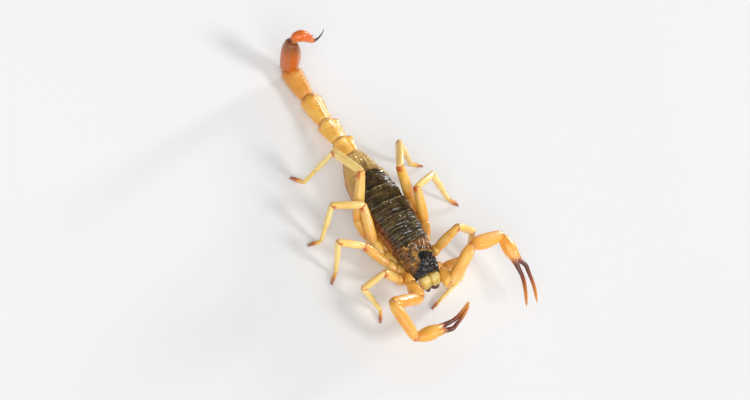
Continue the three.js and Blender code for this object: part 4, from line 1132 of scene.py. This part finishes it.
# Wrinkles and creases across the plate, a crest, a rim, grains and keels. share runs from 0 at the plate's
# front to 1 at its rear.
def backPlateRelief(grid, share, number):
    x, bold = asideOf(grid), trunk["bold"][number]
    wave = grid[..., 1] + 0.5 * noiseOf(grid, 2.2, 2) + 0.08 * np.abs(x)
    ripple = 0.4 + 0.6 * ease(-0.4, 0.4, noiseOf(grid + 17, 1.3))
    wrinkle = 0.03 * np.sin(wave * 2 * math.pi / 0.7) * ripple
    wrinkle = wrinkle * ease(0.05, 0.2, share) * ease(1.0, 0.8, share) * bold
    crease = 0.085 * noiseOf(grid * [0.35, 1.3, 0.35], 0.55, 3) * bold
    crest = 0.07 * bellAt(share, 0.62, 0.07)
    rim = 0.06 * ease(0.93, 0.99, share) - 0.05 * bellAt(share, 0.9, 0.03)
    grains = grainsOf(grid, trunk["grain"], 0.48) * (0.025 + 0.05 * ease(0.25, 0.6, share))
    keel = bellAt(x, 0, 0.16) * ease(0.3, 0.55, share) * 0.12
    if number == lastPlate:  # two beaded keels on each side
        keel, beaded = keel * ease(0.75, 0.6, share), 0.07 + 0.1 * grainsOf(grid + 2, 0.3, 0.5)
        for place in (0.75 - 0.12 * share, 1.75 - 0.5 * share):
            ridge = bellAt(np.abs(x), place, 0.13) * ease(0.12, 0.3, share) * ease(1, 0.93, share)
            keel = keel + ridge * beaded
    return wrinkle + crease + crest + rim + grains + keel


# Every plate is sunk in front, where the one before it laps over, and bows to the rear. The fourth stands for
# the whole trunk.
def makeBackPlate(number):
    front, length, last = sum(trunk["plates"][:number]), trunk["plates"][number], number == lastPlate
    low = front - (trunk["tuck"] if number else -0.02)
    high = front + length + (-0.12 if last else trunk["lap"])
    rows = max(36, int((high - low) / 0.075))
    place, angle = gridOf(np.linspace(low, high, rows), np.linspace(-1, 1, 170))
    share = (place - front) / length
    narrow = (1 - 0.1 * ease(0.25, -0.2, share)) * (1 - 0.06 * ease(0.75, 1.05, share))
    angle = angle * trunk["plateAngle"] * narrow
    raised = -trunk["step"] * (1 - ease(-0.15, 0.5, share)) - 0.04
    bow = 0.16 * np.cos(angle) ** 2 * (0 if last else 1)
    grid = trunkSkin(place, angle, raised)
    grid[..., 1] += bow - 0.1
    outward = grid - trunkMiddle(grid[..., 1])
    grid = grid + outwardNormals(grid, outward) * backPlateRelief(grid, share, number)[..., None]
    side = np.abs(angle) / trunk["plateAngle"]
    cloud = noiseOf(grid, 1.3, 3)
    x, right = np.abs(asideOf(grid)), ease(0.3, -0.3, asideOf(grid))
    broken = ease(-0.15, 0.35, noiseOf(grid + 3, 0.8, 2))
    margin = ease(0.965, 0.99, share + 0.02 * cloud) * broken * 0.3
    crest = ease(0.35, 0.85, noiseOf(grid * [0.3, 1.4, 0.3] + 7, 0.7, 2) * 1.6) * ease(0.1, 0.3, share)
    marks = {
        "tone": np.clip(margin + 0.1 * crest * (0.5 + 0.5 * broken), 0, 1),
        "dark": 0.75 * ease(0.35, -0.1, share) + 0.5 * ease(0.0, 0.5, noiseOf(grid + 11, 1.4, 3)),
        "joint": np.maximum(0.85 * ease(0.66, 0.9, side + 0.1 * cloud) * right, 0.6 * ease(0.9, 0.98, side)),
    }
    if number == lastPlate - 1:  # tan sides, which close in towards the rear
        sideAt = through([0, 1], [3.4, 1.1], share) + 1.1 * (1 - right)
        tan = ease(-0.35, 0.35, x - sideAt + 0.5 * cloud)
        marks = {name: mark * (1 - tan) if name != "tone" else np.maximum(mark, tan * 0.9)
                 for name, mark in marks.items()}
    if last:
        patch = ease(1.15, 0.35, x + 0.5 * cloud) * ease(0.7, 0.3, share + 0.1 * cloud)
        streak = ease(0.1, 0.6, noiseOf(grid * [1, 0.4, 1] + 9, 0.9, 2))
        marks = {"tone": np.clip((1 - 0.75 * patch) * (1 - 0.1 * streak), 0, 1), "dark": 0.25 * patch,
                 "joint": 0.5 * patch + 0.15 * streak + 0.3 * ease(0.9, 0.98, side)}
    plate = plateOf(grid, trunk["thick"], 0.1, outward, **marks)
    replaced = ["mesosoma"] if number == 3 else ()
    makePiece(f"back_plate_{number + 1}", [plate], plateChitin, replaced)


# Soft body wall, pleated along the flanks where the plates slide when the animal feeds.
def makeTrunkWall():
    place, angle = gridOf(np.linspace(-0.25, trunk["length"] + 0.05, 190), fullTurn(150))
    up = np.cos(angle)
    flank = ease(0.42, 0.25, up) * ease(-0.45, -0.25, up)
    wall = trunkSkin(place, angle, -0.3 + 0.14 * flank)
    middle = trunkMiddle(place)
    pleat = 0.07 * np.sin(up * 34 + 1.6 * noiseOf(wall, 1.5, 2))
    pleat = pleat + 0.05 * np.sin(place * 2 * math.pi / 1.1 + 2 * noiseOf(wall, 1.8))
    rough = flank * pleat + 0.04 * noiseOf(wall, 0.6, 2) + 0.02 * grainsOf(wall, 0.22) * flank
    wall = wall + unit(wall - middle) * rough[..., None]
    front = ease(13, 8, place)
    marks = {"joint": 0.8 * ease(-0.1, 0.3, up) * front, "tone": 0.7 * ease(-0.3, 0.1, up) * (1 - front),
             "dark": 0.5 * ease(0.2, 0.36, up) * front + 0.2 * ease(0.1, 0.5, noiseOf(wall, 1.0, 3))}
    makePiece("trunk_wall", [solidOf(wall, **marks)], flankChitin)


# Belly plates, with the slits of the book lungs in all but the last.
def makeBellyPlate(number):
    front, back = trunk["bellyEdges"][number:number + 2]
    place, angle = gridOf(np.linspace(front - 0.25, back + 0.1, 50), np.linspace(-1, 1, 110))
    share = (place - front) / (back - front)
    angle = math.pi + angle * trunk["bellyAngle"]
    grid = trunkSkin(place, angle, -0.12 + 0.1 * ease(0, 0.9, share))
    outward = grid - trunkMiddle(grid[..., 1])
    x, lungs = np.abs(asideOf(grid)), number < len(trunk["bellyEdges"]) - 2
    lift = 0.02 * noiseOf(grid, 0.9, 2) + 0.05 * ease(0.92, 0.99, share) + 0.012 * grainsOf(grid, 0.3)
    slit = np.exp(-(((x - 1.9) / 0.42) ** 2 + ((share - 0.55 + 0.05 * (x - 1.9)) / 0.035) ** 2)) * lungs
    grid = grid + unit(outward) * (lift - 0.13 * slit)[..., None]
    joint = 0.35 * ease(1.02, 1.12, np.abs(angle - math.pi))
    plate = plateOf(grid, 0.12, 0.1, outward, dark=0.8 * slit, tone=0.5 * ease(0.9, 1, share), joint=joint)
    makePiece(f"belly_plate_{number + 1}", [plate], flankChitin)


# Combs: they sweep back from the middle line, by degrees, and each tooth has a peg at its root.
combs = {
    "root": [0.35, 2.1, 1.75], "sweep": 52, "length": 4.9, "width": 0.8, "depth": 0.6,
    "shape": [[0, 0.7], [0.1, 1.0], [0.5, 1.0], [0.9, 0.75], [1, 0.5]],
    "teeth": 21, "toothLength": 1.15, "toothWidths": [[0, 0.08], [0.3, 0.085], [0.75, 0.1], [1, 0.05]],
    "toothDepths": [[0, 0.12], [0.5, 0.15], [1, 0.07]],
}


def combRelief(angle, share, spot):
    return 0.02 * noiseOf(spot, 0.5, 2) - 0.05 * sum(bellAt(share, at, 0.012) for at in (0.33, 0.66))


def makeComb(side):
    out, sweep, count = sideSign[side], math.radians(combs["sweep"]), combs["teeth"]
    direction = unit([out * math.cos(sweep), math.sin(sweep), 0.02])
    link = makeLink(np.array(combs["root"]) * [out, 1, 1], direction, combs["length"])
    form = {"shape": combs["shape"], "size": (combs["width"] * 0.9, combs["depth"]), "pull": (0.1, 0.1)}
    parts = [limbSolid(link, form, 60, 28, 0.12, combRelief)]
    for i in range(count):
        along = (combs["length"] - 0.4) * (i + 0.6) / count
        reach = combs["toothLength"] * (1 - 0.4 * i / count)
        tooth = [[along - 0.05, 0.18 * out, 0], [along + 0.02, 0.5 * out, -0.02],
                 [along + 0.09, (0.3 + reach * 0.62) * out, -0.05],
                 [along + 0.16, (0.22 + reach) * out * 0.92, -0.1]]
        widths, depths = combs["toothWidths"], combs["toothDepths"]
        parts.append(curveSolid(outOf(link, tooth), widths, depths, link["axes"][2], 16, 12))
        peg = outOf(link, [along, 0.36 * out, -0.12])
        parts.append(beadSolid(peg, [0.1, 0.1, 0.09], None, 5, 8, tone=1))
    makePiece(f"comb_{side}", parts, combChitin, [f"pecten_{side}"])


for number in range(len(trunk["plates"])):
    makeBackPlate(number)
makeTrunkWall()
for number in range(len(trunk["bellyEdges"]) - 1):
    makeBellyPlate(number)
lid = [beadSolid([turn * 0.55, 1.35, 2.5], [0.62, 0.75, 0.4], None, 12, 24, joint=0.2) for turn in (-1, 1)]
makePiece("belly_lid", lid, flankChitin)
for side in bothSides:
    makeComb(side)
print("trunk done", pieceCount)


# Tail: five rings, then the sting's bulb. turn is to the left, lift above the horizontal, and roll twists a
# ring about its own length. The third and fourth rings lie on the ground.
tail = {
    "rings": [
        {"length": 3.9, "turn": -2, "lift": -12, "roll": 12, "width": 3.8, "depth": 3.3, "saw": 0},
        {"length": 4.9, "turn": -2, "lift": -12, "roll": 26, "width": 3.8, "depth": 3.35, "saw": 3},
        {"length": 6.2, "turn": -2, "lift": -5, "roll": 38, "width": 3.8, "depth": 3.45, "saw": 5},
        {"length": 6.8, "turn": -4, "lift": 0, "roll": 50, "width": 3.9, "depth": 3.6, "saw": 4},
        {"length": 8.3, "turn": -28, "lift": 76, "roll": 64, "width": 3.7, "depth": 3.6, "saw": 0},
    ],
    "bulb": {"length": 4.2, "turn": 104, "lift": 4, "roll": 0},
    # Bulb and sting: steps forward, steps up along the last ring, and the radius across and deep; then the
    # small spur under the sting, in the same steps.
    "bulbLine": [[0.06, 0.1, 0.6, 0.6], [0.3, 0.75, 0.82, 0.8], [0.8, 1.33, 1.05, 1.02],
                 [1.5, 1.55, 1.12, 1.1], [2.6, 1.05, 1.0, 0.98], [3.55, 0.15, 0.7, 0.7],
                 [4.25, -0.38, 0.38, 0.4], [4.98, -0.03, 0.22, 0.23], [5.6, 0.89, 0.14, 0.15],
                 [5.98, 1.98, 0.08, 0.08], [6.11, 2.85, 0.015, 0.015]],
    "spur": [[2.9, 0.75], [3.5, 0.95], [4.05, 1.2]], "spurWidths": [[0, 0.46], [0.45, 0.26], [1, 0.04]],
    "spurDepths": [[0, 0.5], [0.45, 0.28], [1, 0.04]],
    "ringShape": [[0, 0.72], [0.05, 0.82], [0.14, 0.88], [0.4, 0.97], [0.7, 1.05], [0.88, 1.05], [0.96, 0.98],
                  [1, 0.9]],
    "lastShape": [[0, 0.72], [0.07, 0.88], [0.3, 1.02], [0.55, 1.04], [0.78, 0.95], [0.93, 0.76], [1, 0.62]],
    "toothWidths": [[0, 0.14], [0.6, 0.1], [1, 0.03]], "toothDepths": [[0, 0.24], [0.6, 0.13], [1, 0.03]],
    # Keels: degrees from the middle of the back, and height.
    "keels": [[40, 0.13], [80, 0.1], [130, 0.1], [160, 0.09]], "keelWidth": 6, "grain": 0.34,
    "hairs": 22, "bulbHairs": 30, "redness": [0, 0, 0.1, 0.5, 1.0],
}
lastRing = len(tail["rings"]) - 1


# away is degrees from the middle of the ring's back.
def ringRelief(ring, number):
    radius = ring["width"] / 2

    def relief(angle, share, spot):
        away = angleFrom(angle, 0)
        strength = np.sin(math.pi * np.clip(0.08 + 0.9 * share, 0, 1)) ** 0.4
        beaded = 0.45 + 0.55 * grainsOf(spot, tail["grain"], 0.5)
        raised = sum(height * bellAt(away, at, tail["keelWidth"]) for at, height in tail["keels"])
        raised = raised * beaded * (0.7 if number == lastRing else 1)
        if number < 2:
            raised = raised + 0.07 * bellAt(away, 104, 6) * beaded
        furrow = 0.1 * radius * bellAt(away, 0, 20)
        hollow = 0.05 * (bellAt(away, 60, 11) + bellAt(away, 105, 12) + bellAt(away, 145, 8))
        collar = 0.05 * bellAt(share, 0.955, 0.02) - 0.07 * bellAt(share, 0.07, 0.03)
        if number < lastRing:  # the two back keels end in a rounded lobe
            collar = collar + 0.34 * bellAt(away, 42, 20) * bellAt(share, 0.8, 0.15)
        skin = strength * (raised - furrow - hollow) + collar
        return skin + 0.03 * noiseOf(spot, 1.3, 2) + 0.018 * grainsOf(spot + 4, 0.3)
    return relief


def ringMarks(number):
    redness = tail["redness"][number]

    def marks(angle, share, grid):
        away = angleFrom(angle, 0)
        spots = bellAt(away, 95, 16) + bellAt(away, 30, 12)
        joint = 0.2 * ease(0.97, 1, share) + 0.2 * ease(0.05, 0, share)
        joint = joint + 0.75 * spots * ease(0.82, 0.93, share)
        dark = 0.06 * ease(0.2, 0.7, noiseOf(grid, 0.9, 2))
        tone = redness * (1 + 0.5 * (share - 0.5) * (number < lastRing))
        tone = tone + 0.15 * noiseOf(grid, 2.2, 2) * (number == lastRing - 1)
        if number == lastRing:  # the last ring goes from amber to a dark brown end
            dark, tone = 0.9 + dark, tone - 0.8 * ease(0.55, 1, share)
            tone = tone - 0.1 * ease(0, 0.5, noiseOf(grid, 2.2, 2))
        return {"joint": joint, "tone": np.clip(tone, 0, 1), "dark": dark}
    return marks


# Saw teeth on the two back keels, larger towards the rear.
def sawTeeth(link, form, count):
    forward, teeth, marks = link["axes"][0], [], tipMarks((1, 0.3, 1), (0.4, 0.5, 1))
    for i in range(count):
        share = 0.4 + 0.5 * (i + 0.5) / count
        height = 0.12 + 0.14 * share * (i + 1) / count
        for turn in (-1, 1):
            foot = limbSkin(link, form, np.array(share), np.array(turn * math.radians(40)), raised=-0.1)
            aim = unit(link["axes"][2] + 0.35 * turn * link["axes"][1] + 0.35 * forward)
            points = [foot, foot + aim * (0.5 * height + 0.15), foot + aim * (height + 0.24) + forward * 0.08]
            widths, depths = tail["toothWidths"], tail["toothDepths"]
            teeth.append(curveSolid(points, widths, depths, forward, 12, 12, marks=marks))
    return teeth


# Makes a ring of the tail and returns the soft ball of its front joint.
def makeRing(number, link):
    ring, last = tail["rings"][number], number == lastRing
    form = {"shape": tail["lastShape" if last else "ringShape"], "size": (ring["width"], ring["depth"]),
            "square": 0 if last else 0.3, "pull": (0.1, 0.12)}
    rows = int(ring["length"] / 0.085)
    parts = [limbSolid(link, form, rows, 132, 0.25, ringRelief(ring, number), ringMarks(number))]
    parts += sawTeeth(link, form, ring["saw"])
    parts.append(strewnHairs(link, form, tail["hairs"], (0.1, 0.95), (0.35, 0.7), 0.5, 0.8))
    makeShell(f"metasoma_{number + 1}", parts, tailChitin)
    size = min(ring["width"], ring["depth"]) * 0.41
    return beadSolid(link["start"], (0.75, size, size), link["axes"], 12, 28, joint=0.15)


def bulbRelief(angle, share, spot):
    rows = sum(bellAt(angleFrom(angle, at), 0, width) for at, width in ((90, 8), (60, 7), (120, 7)))
    body = ease(0.02, 0.12, share) * ease(0.56, 0.44, share)
    beaded = 0.035 * noiseOf(spot, 1.0, 2) + 0.05 * rows * grainsOf(spot, 0.3, 0.5)
    return beaded * body + 0.008 * noiseOf(spot, 0.4)


def bulbMarks(angle, share, grid):
    return {
        "joint": 0.9 * ease(0.12, 0.04, share) + 0.45 * ease(0.5, 0.58, share),
        "tone": 0.45 * ease(0, 0.6, noiseOf(grid, 1.8)) * ease(0.56, 0.5, share),
        "dark": 0.6 * ease(0.1, 0.02, share) + ease(0.56, 0.7, share),
    }


# The bulb and its sting. up runs on along the last ring.
def makeBulb(link, up):
    start, forward, count = link["start"], link["axes"][0], tail["bulbHairs"]
    line = np.array(tail["bulbLine"])
    spine = start + line[:, :1] * forward + line[:, 1:2] * up
    places = np.concatenate([[0], np.cumsum(np.linalg.norm(np.diff(spine, axis=0), axis=1))])
    places = places / places[-1]
    sideways = unit(np.cross(forward, up))
    widths, depths = np.stack([places, line[:, 2]], -1), np.stack([places, line[:, 3]], -1)
    parts = [curveSolid(spine, widths, depths, sideways, 150, 64, bulbRelief, bulbMarks)]
    spur = [start + forward * along + up * raised for along, raised in tail["spur"]]
    marks = tipMarks((0.6, 0.5, 1), (0.5, 0.7, 1))
    parts.append(curveSolid(spur, tail["spurWidths"], tail["spurDepths"], sideways, 24, 20, marks=marks))
    share, angle = dice.uniform(0.08, 0.5, count), dice.uniform(0, 2 * math.pi, count)
    middle = splineOf(spine, share)
    ahead = unit(splineOf(spine, share + 0.02) - middle)
    out = np.cross(ahead, sideways) * np.cos(angle)[:, None] + sideways * np.sin(angle)[:, None]
    roots = middle + out * through(places, line[:, 2], share)[:, None]
    parts.append(hairsOn(roots, out + ahead * 0.5, dice.uniform(0.4, 0.8, count), [0, 0, 0.1], 0.7))
    makeShell("telson", parts, stingChitin)


def makeTail():
    rings, rearward = tail["rings"] + [tail["bulb"]], np.array([0.0, 1, 0])
    directions = [tailDirection(ring["turn"], ring["lift"]) for ring in rings]
    lengths, rolls = ([ring[name] for ring in rings] for name in ("length", "roll"))
    links = makeChain(trunk["tailRoot"], directions, lengths, rolls, rearward)
    skins = [makeRing(number, links[number]) for number in range(lastRing + 1)]
    axes, bulb = links[lastRing]["axes"], links[lastRing + 1]
    skins.append(beadSolid(bulb["start"] + axes[0] * 0.1, (0.5, 0.78, 0.78), axes, 12, 24, joint=1, dark=0.7))
    makePiece("tail_joint_skin", skins, jointSkin)
    makeBulb(bulb, axes[0])


makeTail()
print("tail done", pieceCount)


# The table, the light and the camera: lamps by where they shine from and how wide they look, in degrees; the
# camera by its angles in degrees, its distance in millimetres, how many pixels a millimetre takes, and the
# pixel that the target lands on.
studio = {
    "floor": 1.2, "floorPoints": 24, "world": 0.34, "worldColour": "#ffffff",
    "key": {"from": [0.55, -0.65, 0.75], "spread": 16, "power": 1.3},
    "window": {"from": [0.96, 0.24, 0.2], "spread": 10, "power": 1.7},
    "fill": {"from": [-0.5, -0.6, 0.7], "spread": 60, "power": 1.7},
}
view = {
    "azimuth": 30.0, "tilt": 14.0, "roll": 30.5, "scale": 5.45, "distance": 330.0, "target": [0, 0, 7.6],
    "targetPixel": [413.8, 241.2], "frame": [750, 400], "sensor": 36.0,
}


def makeFloor():
    half, count = studio["floor"] / 2, studio["floorPoints"]
    steps = np.linspace(-half, half, count)
    verts = [(x, y, 0.0) for x in steps for y in steps]
    faces = [(i * count + j, (i + 1) * count + j, (i + 1) * count + j + 1, i * count + j + 1)
             for i in range(count - 1) for j in range(count - 1)]
    mesh = bpy.data.meshes.new("floor")
    mesh.from_pydata(verts, [], faces)
    mesh.materials.append(paperMaterial)
    floor = bpy.data.objects.new("floor", mesh)
    bpy.context.scene.collection.objects.link(floor)


# A large soft lamp so far off that it lights the whole table alike.
def softLamp(name, place):
    lamp = bpy.data.lights.new(name, "SUN")
    lamp.angle, lamp.energy = math.radians(place["spread"]), place["power"]
    light = bpy.data.objects.new(name, lamp)
    light.rotation_euler = (-Vector(place["from"])).to_track_quat("-Z", "Y").to_euler()
    bpy.context.scene.collection.objects.link(light)


def makeLight():
    world = bpy.data.worlds.new("studio")
    bpy.context.scene.world = world
    world.use_nodes = True
    sky = world.node_tree.nodes["Background"]
    sky.inputs["Color"].default_value = linear(studio["worldColour"])
    sky.inputs["Strength"].default_value = studio["world"]
    for name in ("key", "window", "fill"):
        softLamp(name, studio[name])
    bpy.context.scene.view_settings.view_transform = "Standard"


def makeCamera():
    azimuth, tilt, roll = (math.radians(view[name]) for name in ("azimuth", "tilt", "roll"))
    flat = math.cos(tilt)
    toward = np.array([-math.sin(azimuth) * flat, -math.sin(tilt), math.cos(azimuth) * flat])
    ahead = np.array([0.0, -1, 0])
    headward = unit(ahead - (ahead @ toward) * toward)
    sideways = np.cross(toward, headward)
    right = math.sin(roll) * headward + math.cos(roll) * sideways
    up = -math.cos(roll) * headward + math.sin(roll) * sideways
    width, height = view["frame"]
    offRight = (view["targetPixel"][0] - width / 2) / view["scale"]
    offDown = (view["targetPixel"][1] - height / 2) / view["scale"]
    place = np.array(view["target"]) - offRight * right + offDown * up + view["distance"] * toward
    data = bpy.data.cameras.new("camera")
    data.sensor_width = view["sensor"]
    data.lens = view["sensor"] * view["scale"] * view["distance"] / width
    data.clip_start, data.clip_end = 0.01, 10
    camera = bpy.data.objects.new("camera", data)
    turn = Matrix([right, up, toward]).transposed().to_4x4()
    camera.matrix_world = Matrix.Translation(Vector(place * mm + bodyOrigin)) @ turn
    bpy.context.scene.collection.objects.link(camera)
    bpy.context.scene.camera = camera


makeFloor()
makeLight()
makeCamera()
print("stage done")
